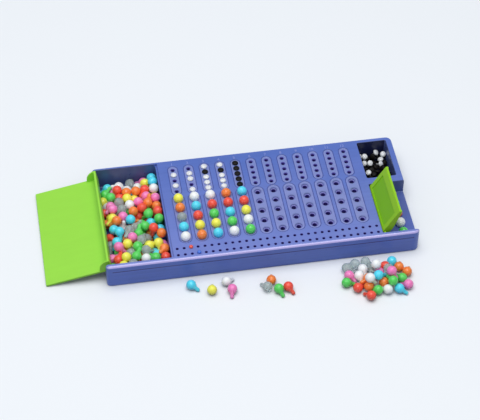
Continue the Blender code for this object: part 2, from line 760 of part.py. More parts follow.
def key_heap_pegs(bm):
    dice = random.Random(KEY_HEAP_SEED)
    low, high = key_heap_room()
    reach = KEY_HEAD_RADIUS + KEY_HEAP_JITTER
    spots = staggered(dice, low, high, KEY_HEAP_ROWS, KEY_HEAP_COLUMNS, reach, KEY_HEAP_JITTER)
    tilts = (KEY_HEAP_STEEPEST, KEY_HEAP_LEVELLEST)
    for x, y, _ in spots:
        place = (x, y, KEY_HEAP_HEIGHT + dice.uniform(0, KEY_HEAP_JITTER))
        yaw, tilt = settled(dice, place, low, high, (KEY_STEM_LENGTH, KEY_STEM_RADIUS), tilts)
        turned(bm, key_peg(), KEY_PEG_SIDES, lying(place, yaw, tilt))


def key_heap_bed(bm):
    low, high = key_heap_room()
    box(bm, low, (high[0], high[1], KEY_HEAP_HEIGHT - KEY_HEAP_BED_DROP))


def pile_place(number, shift):
    """A place in a sunflower spread about the pile's centre."""
    radius = PILE_SPREAD * math.sqrt(number + shift)
    angle = GOLDEN_ANGLE * number
    return (PILE_X + PILE_STRETCH_SHARE * radius * math.cos(angle),
            front - PILE_FRONT_OFFSET + radius * math.sin(angle))


def pile_pegs(bm):
    """Pegs lying on the table, and a few more that lie on those."""
    dice = random.Random(PILE_SEED)
    droop = math.asin((HEAD_RADIUS - CODE_NECK_RADIUS) / (CODE_PEG_LENGTH - HEAD_RADIUS))
    places = [(*pile_place(i, PILE_LOWER_SHARE), HEAD_RADIUS) for i in range(PILE_PEGS)]
    upper = HEAD_RADIUS + PILE_UPPER_RISE
    places += [(*pile_place(i, PILE_UPPER_SHARE), upper) for i in range(PILE_UPPER_PEGS)]
    for place in places:
        yaw = dice.uniform(-math.pi, math.pi)
        turned(bm, code_peg_profile(), LOOSE_PEG_SIDES, lying(place, yaw, -droop))


def pile_bed(bm):
    """The pegs inside the pile as one low mound."""
    reach = PILE_SPREAD * math.sqrt(PILE_PEGS)
    rings = []
    levels = ((1, 0.0), (PILE_BED_EDGE_SHARE, PILE_BED_EDGE), (PILE_BED_TOP_SHARE, PILE_BED_TOP))
    for share, height in levels:
        angles = (2 * math.pi * i / PILE_BED_SIDES for i in range(PILE_BED_SIDES))
        rings.append([(PILE_X + PILE_STRETCH_SHARE * share * reach * math.cos(a),
                       front - PILE_FRONT_OFFSET + share * reach * math.sin(a), height) for a in angles])
    loft(bm, rings)


def make_heap(name, bed, pegs, finish):
    """Pegs that lie on and in each other, joined into one piece with the bed under them."""
    heap = new_object(name, mesh_of(name, bed), finish)
    union(heap, name + "_pegs", pegs)
    heap.modifiers[name + "_pegs"].use_self = True


for leftover in list(bpy.data.objects):
    bpy.data.objects.remove(leftover, do_unlink=True)
make_tray()
make_lid()
make_shield()
make_seated_pegs()
make_heap("storage_peg_heap", heap_bed, heap_pegs, "orange")
make_heap("key_peg_heap", key_heap_bed, key_heap_pegs, "black")
make_heap("table_peg_pile", pile_bed, pile_pegs, "pink")
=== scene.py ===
import contextlib
import functools
import json
import math
import random

import bmesh
import bpy
import numpy as np
from mathutils import Euler, Matrix, Vector

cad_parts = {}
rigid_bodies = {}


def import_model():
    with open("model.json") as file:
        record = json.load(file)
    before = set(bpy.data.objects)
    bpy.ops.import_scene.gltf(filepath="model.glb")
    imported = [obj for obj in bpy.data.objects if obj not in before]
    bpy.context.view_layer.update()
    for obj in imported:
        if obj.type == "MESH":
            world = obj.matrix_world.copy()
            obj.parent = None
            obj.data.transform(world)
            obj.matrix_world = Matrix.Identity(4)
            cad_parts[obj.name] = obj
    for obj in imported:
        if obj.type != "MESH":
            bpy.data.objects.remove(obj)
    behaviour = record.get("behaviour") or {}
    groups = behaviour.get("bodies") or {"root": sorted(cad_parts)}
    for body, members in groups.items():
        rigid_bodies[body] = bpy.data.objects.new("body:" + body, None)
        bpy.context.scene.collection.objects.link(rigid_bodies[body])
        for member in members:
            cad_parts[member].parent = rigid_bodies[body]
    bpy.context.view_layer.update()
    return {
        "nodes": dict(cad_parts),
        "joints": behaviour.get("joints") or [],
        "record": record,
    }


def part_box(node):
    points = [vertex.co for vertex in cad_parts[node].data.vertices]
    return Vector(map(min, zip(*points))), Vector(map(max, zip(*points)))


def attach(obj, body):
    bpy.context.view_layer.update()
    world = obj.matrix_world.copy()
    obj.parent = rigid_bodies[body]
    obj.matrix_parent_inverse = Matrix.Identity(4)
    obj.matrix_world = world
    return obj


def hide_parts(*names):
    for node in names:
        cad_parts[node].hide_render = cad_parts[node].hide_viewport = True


for leftover in list(bpy.data.objects):
    bpy.data.objects.remove(leftover, do_unlink=True)
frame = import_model()
print("frame loaded:", len(frame["nodes"]), "nodes")

mm = 0.001  # meshes are drawn in millimetres and brought to metres once
over = 2.0  # how far a cutter stands past what it cuts
headroom = 0.6  # how far the cutter of a hole or a seat stands above its surface
skim = 0.02  # step between two faces that would otherwise lie in one plane


def nodeBox(node):
    low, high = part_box(node)
    return low / mm, high / mm


def middle(node):
    low, high = nodeBox(node)
    return (low + high) / 2


def jointNamed(name):
    return next(joint for joint in frame["joints"] if joint["name"] == name)


# Outlines and solids

def loft(rings):  # closed skin over rings with as many points each, flat at both ends
    count = len(rings[0])
    points = [point for ring in rings for point in ring]
    faces = []
    for level in range(len(rings) - 1):
        low, high = level * count, (level + 1) * count
        faces += [(low + i, low + (i + 1) % count, high + (i + 1) % count, high + i) for i in range(count)]
    faces.append(tuple(reversed(range(count))))
    faces.append(tuple(range(len(points) - count, len(points))))
    return points, faces


def lathe(profile, sides):  # (radius, height) from the lower pole to the upper one
    points, faces, rows = [], [], []
    for radius, height in profile:
        start = len(points)
        around = sides if radius else 1
        rows.append(range(start, start + around))
        for i in range(around):
            angle = 2 * math.pi * i / sides
            points.append((radius * math.cos(angle), radius * math.sin(angle), height))
    for lower, upper in zip(rows, rows[1:]):
        for i in range(sides):
            j = i + 1
            corners = [lower[i % len(lower)], lower[j % len(lower)], upper[j % len(upper)],
                       upper[i % len(upper)]]
            faces.append(tuple(dict.fromkeys(corners)))
    return points, faces


def hoop(rings):  # closed skin over rings of points that follow each other round and meet again
    count, turns = len(rings[0]), len(rings)
    points = [point for ring in rings for point in ring]
    faces = [(i * count + j, (i + 1) % turns * count + j, (i + 1) % turns * count + (j + 1) % count,
              i * count + (j + 1) % count) for i in range(turns) for j in range(count)]
    return points, faces


def turnedHoop(section, sides):  # a closed section of (radius, height) turned about the origin
    return hoop([[(r * math.cos(a), r * math.sin(a), z) for r, z in section]
                 for a in (2 * math.pi * i / sides for i in range(sides))])


def pathHoop(plan, section):  # a closed section of (outset, height) carried round plan(inset)
    loops = [[(x, y, z) for x, y in plan(-out)] for out, z in section]
    return hoop([list(ring) for ring in zip(*loops)])


def together(*parts):  # several solids as one list of points and faces
    points, faces = [], []
    for partPoints, partFaces in parts:
        faces += [tuple(index + len(points) for index in face) for face in partFaces]
        points += partPoints
    return points, faces


def arc(centre, radius, start, end, steps):
    angles = [start + (end - start) * i / steps for i in range(steps + 1)]
    return [(centre[0] + radius * math.cos(a), centre[1] + radius * math.sin(a)) for a in angles]


def circle(centre, radius, sides):
    return arc(centre, radius, 0, 2 * math.pi, sides)[:-1]


def roundedPlan(low, high, radii, steps, inset):  # radii anticlockwise from the front left corner
    corners = ((low[0], low[1], 1, 1), (high[0], low[1], -1, 1), (high[0], high[1], -1, -1),
               (low[0], high[1], 1, -1))
    outline = []
    for number, (x, y, sideX, sideY) in enumerate(corners):
        radius = radii[number]
        start = math.pi + number * math.pi / 2
        centre = (x + sideX * radius, y + sideY * radius)
        outline += arc(centre, radius - inset, start, start + math.pi / 2, steps)
    return outline


def stadiumPlan(x, yLow, yHigh, radius, steps, inset):
    return arc((x, yHigh), radius - inset, 0, math.pi, steps) + arc(
        (x, yLow), radius - inset, math.pi, 2 * math.pi, steps)


def filleted(corners, steps=4):  # (x, z, radius) corners to an outline with each corner rounded
    outline = []
    for number, (x, z, radius) in enumerate(corners):
        here = Vector((x, z))
        back = (Vector(corners[number - 1][:2]) - here).normalized()
        ahead = (Vector(corners[(number + 1) % len(corners)][:2]) - here).normalized()
        half = back.angle(ahead) / 2
        centre = here + (back + ahead).normalized() * radius / math.sin(half)
        first = here + back * radius / math.tan(half) - centre
        last = here + ahead * radius / math.tan(half) - centre
        sweep = first.angle(last)
        for k in range(steps + 1):
            share = k / steps
            spoke = (first * math.sin((1 - share) * sweep) + last * math.sin(share * sweep)) / math.sin(sweep)
            outline.append(tuple(centre + spoke))
    return outline


def atHeights(plan, levels):  # rings of plan(inset) at each (inset, z)
    return [[(x, y, z) for x, y in plan(inset)] for inset, z in levels]


def quarter(steps):
    return [math.pi / 2 * k / steps for k in range(steps + 1)]


def footLevels(radius, floor, steps=3):  # (inset, z) up a rounded foot
    return [(radius * (1 - math.sin(a)), floor + radius * (1 - math.cos(a))) for a in quarter(steps)]


def crestLevels(radius, top, steps=3, side=1):  # (inset, z) over a rounded upper edge, -1 for an outset
    return [(side * radius * (1 - math.cos(a)), top - radius * (1 - math.sin(a))) for a in quarter(steps)]


def pocketLevels(floor, surface, lip, fillet):  # a pocket with a rounded foot and a rounded upper edge
    return footLevels(fillet, floor) + crestLevels(lip, surface + skim, side=-1) + [(-lip, surface + over)]


def prismAlongY(outline, yLow, yHigh):
    return loft([[(x, y, z) for x, z in outline] for y in (yLow, yHigh)])


def boxSolid(low, high):
    plan = [(low[0], low[1]), (high[0], low[1]), (high[0], high[1]), (low[0], high[1])]
    return loft([[(x, y, z) for x, y in plan] for z in (low[2], high[2])])


# Making, cutting and finishing pieces

@contextlib.contextmanager
def editing(mesh):
    bm = bmesh.new()
    bm.from_mesh(mesh)
    yield bm
    bm.to_mesh(mesh)
    bm.free()


def addMesh(name, solid, *finishes):
    points, faces = solid
    mesh = bpy.data.meshes.new(name)
    mesh.from_pydata([tuple(point) for point in points], [], faces)
    with editing(mesh) as bm:
        bmesh.ops.recalc_face_normals(bm, faces=bm.faces)
    mesh.transform(Matrix.Scale(mm, 4))
    for finish in finishes:
        mesh.materials.append(finish)
    piece = bpy.data.objects.new(name, mesh)
    bpy.context.scene.collection.objects.link(piece)
    return piece


def evaluatedMesh(piece):
    bpy.context.view_layer.update()
    return bpy.data.meshes.new_from_object(piece.evaluated_get(bpy.context.evaluated_depsgraph_get()))


def bake(piece):  # leaves what the modifiers make as a plain mesh
    made = evaluatedMesh(piece)
    piece.modifiers.clear()
    piece.data = made
    made.name = piece.name


def carve(piece, cutter, operation="DIFFERENCE"):  # each cut face takes its cutter's finish
    modifier = piece.modifiers.new("carve", "BOOLEAN")
    modifier.operation = operation
    modifier.object = cutter
    modifier.material_mode = "TRANSFER"
    bake(piece)
    bpy.data.objects.remove(cutter, do_unlink=True)


def joinedCutter(name, cutters):  # one cutter for solids that don't meet, each with its own finish
    joined = addMesh(name, ([], []), *[cutter.data.materials[0] for cutter in cutters])
    with editing(joined.data) as bm:
        for number, cutter in enumerate(cutters):
            start = len(bm.faces)
            bm.from_mesh(cutter.data)
            bm.faces.ensure_lookup_table()
            for face in bm.faces[start:]:
                face.material_index = number
    for cutter in cutters:
        bpy.data.objects.remove(cutter, do_unlink=True)
    return joined


def softened(piece, width, segments=2, angle=50):
    modifier = piece.modifiers.new("edges", "BEVEL")
    modifier.width = width * mm
    modifier.segments = segments
    modifier.limit_method = "ANGLE"
    modifier.angle_limit = math.radians(angle)
    bake(piece)


def smoothed(piece, angle=38, levelFlat=False, level=0.99999):  # levelFlat: level faces aren't shaded round
    piece.data.shade_smooth()
    piece.data.set_sharp_from_angle(angle=math.radians(angle))
    if levelFlat:
        with editing(piece.data) as bm:
            for edge in bm.edges:
                flat = [abs(face.normal.z) > level for face in edge.link_faces]
                if any(flat) and not all(flat):
                    edge.smooth = False
    piece.modifiers.new("shading", "WEIGHTED_NORMAL").keep_sharp = True
    bake(piece)


def settle(piece, body, slot, *nodes):
    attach(piece, body)
    if nodes:
        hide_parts(*nodes)


def addNode(tree, kind, feeds=None, **settings):  # feeds: a value or another node's output for each input
    made = tree.nodes.new(kind)
    for setting, value in settings.items():
        setattr(made, setting, value)
    for socket, value in (feeds or {}).items():
        if isinstance(value, bpy.types.NodeSocket):
            tree.links.new(value, made.inputs[socket])
        else:
            made.inputs[socket].default_value = value
    return made


# Finishes
mouldedLook = {  # for each noise: how many times finer than its size it is, and its detail
    "mottle": (1.0, 3.0), "streak": (7.0, 3.0), "drift": (0.4, 2.0), "polish": (3.0, 4.0),
    "grain": (1.0, 2.0), "streakStretch": (0.05, 1.0, 1.0), "driftSwing": 0.4,
}


def linear(colour):  # 0 to 255 as seen on a screen, to the shader's own scale
    return [((c / 255 + 0.055) / 1.055) ** 2.4 if c > 10 else c / 255 / 12.92 for c in colour] + [1.0]


def buildMouldedGroup():  # mottle, streaks (on the rail's front they stand for a painted reflection), roughness swing and fine grain of moulded plastic
    tree = bpy.data.node_groups.new("mouldedPlastic", "ShaderNodeTree")
    grey = linear((188, 188, 188))
    sockets = {"Colour": grey, "Back Colour": grey, "Back Slope": 0.0, "Streak": 0.0, "Mottle": 0.05,
               "Mottle Size": 0.02, "Roughness": 0.35, "Roughness Swing": 0.08, "Grain Size": 0.0007,
               "Grain Depth": 0.00002}
    for name, value in sockets.items():
        kind = "NodeSocketFloat" if isinstance(value, float) else "NodeSocketColor"
        tree.interface.new_socket(name=name, in_out="INPUT", socket_type=kind).default_value = value
    for name, kind in (("Colour", "Color"), ("Roughness", "Float"), ("Normal", "Vector")):
        tree.interface.new_socket(name=name, in_out="OUTPUT", socket_type="NodeSocket" + kind)
    given = addNode(tree, "NodeGroupInput").outputs
    place = addNode(tree, "ShaderNodeTexCoord").outputs["Object"]

    def maths(operation, first, second):
        return addNode(tree, "ShaderNodeMath", {0: first, 1: second}, operation=operation).outputs[0]

    def noise(look, size="Mottle Size", where=place):
        scale, detail = mouldedLook[look]
        feeds = {"Vector": where, "Scale": maths("DIVIDE", scale, given[size]), "Detail": detail}
        return addNode(tree, "ShaderNodeTexNoise", feeds).outputs["Fac"]

    def around(source, centre, swing):  # 0 to 1 becomes centre - swing to centre + swing
        feeds = {"Value": source, "To Min": maths("SUBTRACT", centre, swing),
                 "To Max": maths("ADD", centre, swing)}
        return addNode(tree, "ShaderNodeMapRange", feeds).outputs["Result"]

    shade = around(noise("mottle"), 1.0, given["Mottle"])
    drawn = addNode(tree, "ShaderNodeMapping", {"Vector": place, "Scale": mouldedLook["streakStretch"]})
    lined = around(noise("streak", where=drawn.outputs["Vector"]), 1.0, given["Streak"])
    split = addNode(tree, "ShaderNodeSeparateXYZ", {"Vector": place})
    slope = maths("MULTIPLY", split.outputs["Y"], given["Back Slope"])
    drift = around(noise("drift"), 0.5, mouldedLook["driftSwing"])
    change = addNode(tree, "ShaderNodeMix", {"Factor": maths("ADD", slope, drift), "A": given["Colour"],
                                             "B": given["Back Colour"]}, data_type="RGBA")
    tint = addNode(tree, "ShaderNodeHueSaturation", {"Color": change.outputs["Result"],
                                                     "Value": maths("MULTIPLY", shade, lined)})
    polish = around(noise("polish"), given["Roughness"], given["Roughness Swing"])
    bump = addNode(tree, "ShaderNodeBump", {"Height": noise("grain", "Grain Size"),
                                            "Distance": given["Grain Depth"]})
    addNode(tree, "NodeGroupOutput", {"Colour": tint.outputs["Color"], "Roughness": polish,
                                      "Normal": bump.outputs["Normal"]})
    return tree


mouldedGroup = buildMouldedGroup()
shaderSockets = {"specular": "Specular IOR Level", "coat": "Coat Weight", "coatRoughness": "Coat Roughness",
                 "subsurface": "Subsurface Weight", "subsurfaceScale": "Subsurface Scale",
                 "subsurfaceRadius": "Subsurface Radius", "transmission": "Transmission Weight", "ior": "IOR"}


def plastic(name, colour, grain, backColour=None, **constants):
    finish = bpy.data.materials.new(name)
    finish.use_nodes = True
    tree = finish.node_tree
    shader = tree.nodes["Principled BSDF"]
    feeds = {"Colour": linear(colour), "Back Colour": linear(backColour or colour), **grain}
    group = addNode(tree, "ShaderNodeGroup", feeds, node_tree=mouldedGroup, name="moulded")
    for constant, value in constants.items():
        shader.inputs[shaderSockets[constant]].default_value = value
    for output, socket in (("Colour", "Base Color"), ("Roughness", "Roughness"), ("Normal", "Normal")):
        tree.links.new(group.outputs[output], shader.inputs[socket])
    return finish


trayGrain = {"Mottle": 0.07, "Mottle Size": 0.016, "Roughness": 0.3, "Roughness Swing": 0.07, "Streak": 0.09,
             "Back Slope": 8.0, "Grain Size": 0.0008, "Grain Depth": 0.00002}
# the rail's front has stronger streaks, which stand for a painted reflection
frontSheenGrain = {**trayGrain, "Streak": 0.16, "Back Slope": 0.0}
coverGrain = {"Mottle": 0.03, "Mottle Size": 0.03, "Roughness": 0.42, "Roughness Swing": 0.06, "Streak": 0.03,
              "Grain Size": 0.0006, "Grain Depth": 0.000018}
pegGrain = {"Mottle": 0.04, "Mottle Size": 0.004, "Roughness": 0.30, "Roughness Swing": 0.08,
            "Grain Size": 0.0009, "Grain Depth": 0.00002}

trayFinish = plastic("trayBlue", (116, 130, 200), trayGrain, (82, 108, 186), specular=0.35, coat=0.2,
                     coatRoughness=0.12)
# the rail's front: brighter and bluer than the tray, painted light for the light its upright face lacks
frontBrightenedFinish = plastic("frontBlue", (106, 130, 216), frontSheenGrain, specular=0.3)
# the rail's crest: pale lavender, a painted highlight
crestHighlightFinish = plastic("crestPale", (192, 184, 240), trayGrain, coat=0.3, coatRoughness=0.12)
# bin, recess and the key box's lit wall: darker than the tray as painted shade, darker still towards the back
pocketShadeFinish = plastic("pocketBlue", (88, 108, 190), trayGrain, (78, 91, 142))
# key box: near black, painted shade
keyBoxShadeFinish = plastic("inkBlue", (34, 40, 82), trayGrain)
fieldFinish = plastic("fieldLilac", (132, 140, 198), trayGrain, (118, 132, 192))
# pale bead inside each field: a painted highlight
beadHighlightFinish = plastic("beadPale", (150, 158, 214), trayGrain)
# dark grooves round the fields and seats and along the rail's front: painted shade
grooveShadeFinish = plastic("grooveViolet", (72, 80, 150), trayGrain)
# pale middle of each seat: painted light that keeps it bright in its own shade
dishLitFinish = plastic("dishViolet", (146, 146, 214), trayGrain)
# dark violet in the holes and in the key holes' sunk rings: painted shade
sleeveShadeFinish = plastic("sleeveViolet", (70, 58, 150), trayGrain)
numeralFinish = plastic("numeralLilac", (140, 150, 212), trayGrain)
lidFinish = plastic("lidLime", (152, 220, 70), coverGrain, specular=0.35)
shieldFinish = plastic("shieldGreen", (146, 202, 30), coverGrain, specular=0.35)
# pale edge of the shield above its hinge: a painted highlight
shieldHighlightFinish = plastic("shieldEdge", (206, 234, 140), coverGrain, coat=0.3)
shieldFieldFinish = plastic("shieldField", (124, 188, 8), coverGrain, specular=0.35)
pegColours = {"white": (244, 250, 254), "yellow": (253, 242, 92), "orange": (255, 136, 64),
              "red": (250, 88, 70), "green": (94, 212, 100), "sky": (88, 218, 255), "blue": (70, 112, 216),
              "pink": (255, 134, 194)}
pegFinishes = {name: plastic("peg" + name.capitalize(), colour, pegGrain, coat=0.15, subsurface=0.8,
                             subsurfaceScale=0.005, subsurfaceRadius=(1.0, 1.0, 1.0))
               for name, colour in pegColours.items()}
pegFinishes["black"] = plastic("pegBlack", (20, 17, 16), {**pegGrain, "Roughness": 0.55}, specular=0.15)
pegFinishes["clear"] = plastic("pegClear", (220, 233, 232), {**pegGrain, "Roughness": 0.14},
                               transmission=0.65, ior=1.4)
print("finishes made:", len(bpy.data.materials))


# Geometry Nodes

def nodeTree(name, **kinds):  # a tree with an input of each of these kinds besides its geometry
    tree = bpy.data.node_groups.new(name, "GeometryNodeTree")
    for socket, kind in {"Geometry": "Geometry", **kinds}.items():
        tree.interface.new_socket(name=socket, in_out="INPUT", socket_type="NodeSocket" + kind)
    tree.interface.new_socket(name="Geometry", in_out="OUTPUT", socket_type="NodeSocketGeometry")
    return tree, addNode(tree, "NodeGroupInput").outputs


def realCopies(tree, points, solid, finish, **feeds):  # a solid on each point, as real mesh in one finish
    copies = addNode(tree, "GeometryNodeInstanceOnPoints", {"Points": points, "Instance": solid, **feeds})
    real = addNode(tree, "GeometryNodeRealizeInstances", {"Geometry": copies.outputs["Instances"]})
    finished = addNode(tree, "GeometryNodeSetMaterial", {"Geometry": real.outputs["Geometry"],
                                                         "Material": finish})
    return finished.outputs["Geometry"]


def buildGridTree():  # copies a solid over a grid of places
    tree, given = nodeTree("solidsOnGrid", Columns="Int", Rows="Int", Width="Float", Depth="Float",
                           Middle="Vector", Solid="Object", Finish="Material")
    grid = addNode(tree, "GeometryNodeMeshGrid", {"Vertices X": given["Columns"], "Vertices Y": given["Rows"],
                                                  "Size X": given["Width"], "Size Y": given["Depth"]})
    place = addNode(tree, "GeometryNodeTransform", {"Geometry": grid.outputs["Mesh"],
                                                    "Translation": given["Middle"]})
    solid = addNode(tree, "GeometryNodeObjectInfo", {"Object": given["Solid"]})
    copies = realCopies(tree, place.outputs["Geometry"], solid.outputs["Geometry"], given["Finish"])
    addNode(tree, "NodeGroupOutput", {"Geometry": copies})
    return tree


def buildHeapTree(finishes):  # lays a peg on each point, turned and coloured by the point's attributes
    tree, given = nodeTree("loosePegs", Peg="Object", **{"Finish " + name: "Material" for name in finishes})
    solid = addNode(tree, "GeometryNodeObjectInfo", {"Object": given["Peg"]}).outputs["Geometry"]
    turn = addNode(tree, "GeometryNodeInputNamedAttribute", {"Name": "turn"}, data_type="FLOAT_VECTOR")
    asTurn = addNode(tree, "FunctionNodeEulerToRotation", {0: turn.outputs["Attribute"]})
    colour = addNode(tree, "GeometryNodeInputNamedAttribute", {"Name": "colour"}, data_type="INT")
    joined = addNode(tree, "GeometryNodeJoinGeometry")
    for number, name in enumerate(finishes):
        same = addNode(tree, "FunctionNodeCompare", {2: colour.outputs["Attribute"], 3: number},
                       data_type="INT", operation="EQUAL")
        pegs = realCopies(tree, given["Geometry"], solid, given["Finish " + name],
                          Selection=same.outputs["Result"], Rotation=asTurn.outputs["Rotation"])
        tree.links.new(pegs, joined.inputs["Geometry"])
    addNode(tree, "NodeGroupOutput", {"Geometry": joined.outputs["Geometry"]})
    return tree


def grown(piece, seed, tree, inputs):  # runs a tree that copies the seed, with its inputs by their names
    modifier = piece.modifiers.new(tree.name, "NODES")
    modifier.node_group = tree
    for item in tree.interface.items_tree:
        if item.item_type == "SOCKET" and item.in_out == "INPUT" and item.name in inputs:
            modifier[item.identifier] = inputs[item.name]
    bake(piece)
    bpy.data.objects.remove(seed, do_unlink=True)
    return piece


gridTree = buildGridTree()


def gridOf(name, solid, finish, columns, rows, first, last):  # first and last are the outermost places
    seed = addMesh(name + "Seed", solid, finish)
    return grown(addMesh(name, ([], []), finish), seed, gridTree, {
        "Columns": columns, "Rows": rows, "Width": abs(last[0] - first[0]) * mm,
        "Depth": abs(last[1] - first[1]) * mm,
        "Middle": [(a + b) / 2 * mm for a, b in zip(first, last)] + [0.0], "Solid": seed, "Finish": finish})


# Places read from the frame, mm
trayLow, trayHigh = nodeBox("tray")
board = {
    "columns": 12, "rows": 5, "scoreHoles": 30, "scoreRows": 2, "scoreFirstHole": 2,
    "keyFirst": middle("key_peg_5_1").to_2d(), "keyNext": middle("key_peg_5_2").to_2d(),
    "codeFirst": middle("code_peg_1_1").to_2d(), "codeNext": middle("code_peg_2_2").to_2d(),
    "secretFirst": middle("secret_peg_1").to_2d(), "secretNext": middle("secret_peg_2").to_2d(),
    "scoreFirst": middle("score_peg_1").to_2d(), "scoreNext": middle("score_peg_2").to_2d(),
}
columnPitch = board["codeNext"].x - board["codeFirst"].x
codePitch = board["codeFirst"].y - board["codeNext"].y
keyPitch = board["keyFirst"].y - board["keyNext"].y
scorePitch = board["scoreNext"] - board["scoreFirst"]
firstColumn = board["codeFirst"].x
lastColumn = firstColumn + (board["columns"] - 1) * columnPitch

tray = {
    "wall": 2.2, "floor": 1.6, "railThick": 4.0, "railRise": 0.8, "railSlope": 0.6, "deckThick": 2.0,
    "footFillet": 1.2, "railFillet": 2.3, "railSteps": 5, "leftCorner": 3.4, "rightCorner": 5.0,
    "cornerSteps": 6, "railEnd": 3.2, "railEndSteps": 8, "railEndPast": 0.05,
    # frontFacing and crestFacing pick out the rail's brightened front and its painted highlight; sideFacing
    # picks out the key box's wall that faces the light
    "frontFacing": 0.3, "crestFacing": 0.4, "sideFacing": 0.5,  # parts of a normal, where a finish changes
    "binLength": 52.3, "ledge": 1.6, "ledgeDrop": 2.3, "sillDrop": 12.4,
    "keyBoxLength": 25.2, "keyBoxSideRim": 5.3, "keyBoxBackRim": 3.9, "keyBoxFrontRim": 7.25,
    "recessLength": 30.8, "recessFloor": 8.5, "recessBackPlay": 0.3,
    "pocketCorner": 1.2, "pocketSteps": 4, "pocketFillet": 0.8, "pocketLip": 0.45, "rib": 1.6,
    "grooveHeight": 16.4, "grooveRadius": 0.7, "grooveOut": 0.42, "grooveEnd": 5.0, "grooveSides": 12,
}
deck = trayHigh.z - tray["railRise"]
railInner = trayLow.y + tray["railThick"]
backInner = trayHigh.y - tray["wall"]
binLeft = trayLow.x + tray["wall"]
binRight = binLeft + tray["binLength"]
deckLeft = binRight + tray["ledge"]
recessLeft = trayHigh.x - tray["recessLength"]
keyBoxRight = trayHigh.x - tray["keyBoxSideRim"]
keyBoxLeft = keyBoxRight - tray["keyBoxLength"]
secretLast = board["secretFirst"] + (board["rows"] - 1) * (board["secretNext"] - board["secretFirst"])
headRadius = (nodeBox("code_peg_1_1")[1].x - nodeBox("code_peg_1_1")[0].x) / 2
recessBack = secretLast.y + headRadius + tray["recessBackPlay"]
keyBoxFront = recessBack + tray["keyBoxFrontRim"]
keyBoxBack = trayHigh.y - tray["keyBoxBackRim"]
underDeck = deck - tray["deckThick"]
underRecess = tray["recessFloor"] - tray["deckThick"]


def trayPlan(inset):
    left, right = tray["leftCorner"], tray["rightCorner"]
    return roundedPlan(trayLow, trayHigh, (left, right, right, left), tray["cornerSteps"], inset)


def trayBlank():
    return loft(atHeights(trayPlan, footLevels(tray["footFillet"], 0)
                          + crestLevels(tray["railFillet"], trayHigh.z, tray["railSteps"])))


def railEnd(side):  # block that leaves the rail's upper end round
    radius, reach = tray["railEnd"], trayHigh.x + over
    end, top = trayHigh.x - radius, trayHigh.z - radius
    rounding = [(side * x, z) for x, z in arc((end, top), radius, 0, math.pi / 2, tray["railEndSteps"])]
    outline = [(side * reach, top)] + rounding + [(side * end, trayHigh.z + over),
                                                  (side * reach, trayHigh.z + over)]
    return prismAlongY(outline, trayLow.y - over, railInner + tray["railEndPast"])


def trayPocket(low, high, floor):
    plan = functools.partial(roundedPlan, low, high, (tray["pocketCorner"],) * 4, tray["pocketSteps"])
    return loft(atHeights(plan, pocketLevels(floor, deck, tray["pocketLip"], tray["pocketFillet"])))


def traySolids():  # cutters in the order of their cuts; solids of one cutter don't meet
    far, halfRib = trayHigh.x + over, tray["rib"] / 2
    relief = [(railInner, deck), (trayHigh.y + over, deck), (trayHigh.y + over, deck + over),
              (railInner - tray["railSlope"], deck + over)]
    yield loft([[(x, y, z) for y, z in relief] for x in (-far, far)]), trayFinish
    yield together(trayPocket((binLeft, railInner), (binRight, backInner), tray["floor"]),
                   trayPocket((recessLeft, railInner), (far, recessBack), tray["recessFloor"])), pocketShadeFinish
    yield trayPocket((keyBoxLeft, keyBoxFront), (keyBoxRight, keyBoxBack), tray["floor"]), keyBoxShadeFinish
    yield together(
        boxSolid((binRight + tray["wall"], railInner, -over), (-halfRib, backInner, underDeck)),
        boxSolid((halfRib, railInner, -over), (keyBoxLeft - tray["wall"], backInner, underDeck))), trayFinish
    yield together(
        boxSolid((binRight - over, railInner, deck - tray["ledgeDrop"]), (deckLeft, backInner, deck + over)),
        boxSolid((-far, railInner, deck - tray["sillDrop"]), (binLeft + over, backInner, deck + over)),
        boxSolid((keyBoxLeft - 2 * tray["wall"], railInner, -over),
                 (trayHigh.x - tray["wall"], recessBack, underRecess))), trayFinish
    # groove along the rail's front, dark with painted shade
    groove = circle((trayLow.y - tray["grooveOut"], tray["grooveHeight"]), tray["grooveRadius"],
                    tray["grooveSides"])
    ends = (trayLow.x + tray["grooveEnd"], trayHigh.x - tray["grooveEnd"])
    yield loft([[(x, y, z) for y, z in groove] for x in ends]), grooveShadeFinish
    yield together(railEnd(1), railEnd(-1)), trayFinish


fields = {  # the sunk fields round the holes of one guess
    "sink": 0.35, "keyRadius": 3.7, "codeRadius": 4.7, "lip": 0.28, "fillet": 0.12, "steps": 12,
    "outlineWidth": 0.42, "outlineDepth": 0.35, "outlineOut": 0.45, "outlineShoulderShare": 0.6,
    "outlineTop": 0.4, "beadIn": 0.35, "beadRadius": 0.2, "beadSides": 6,
}
fieldHeight = deck - fields["sink"]
ballRise = nodeBox("code_peg_1_1")[1].z - headRadius - fieldHeight


def fieldPlans(x):  # plan(inset) of the key field and of the code field at x
    kinds = (("key", keyPitch), ("code", codePitch))
    return {name: functools.partial(stadiumPlan, x, board[name + "First"].y - (board["rows"] - 1) * pitch,
                                    board[name + "First"].y, fields[name + "Radius"], fields["steps"])
            for name, pitch in kinds}


def rowOf(name, solid, finish):  # one copy in each column
    return gridOf(name, solid, finish, board["columns"], 1, (firstColumn, 0), (lastColumn, 0))


def fieldCutters():  # the fields, and a thin groove round each, dark with painted shade
    levels = pocketLevels(fieldHeight, deck, fields["lip"], fields["fillet"])
    solids = [loft(atHeights(plan, levels)) for column in range(board["columns"])
              for plan in fieldPlans(firstColumn + column * columnPitch).values()]
    out, width, depth = fields["outlineOut"], fields["outlineWidth"], fields["outlineDepth"]
    top, shoulder = deck + fields["outlineTop"], deck - depth * fields["outlineShoulderShare"]
    section = [(out, top), (out, shoulder), (out + width / 2, deck - depth), (out + width, shoulder),
               (out + width, top)]
    outlines = [rowOf(name + "Outline", pathHoop(plan, section), grooveShadeFinish)
                for name, plan in fieldPlans(0).items()]
    return [addMesh("fields", together(*solids), fieldFinish)] + outlines


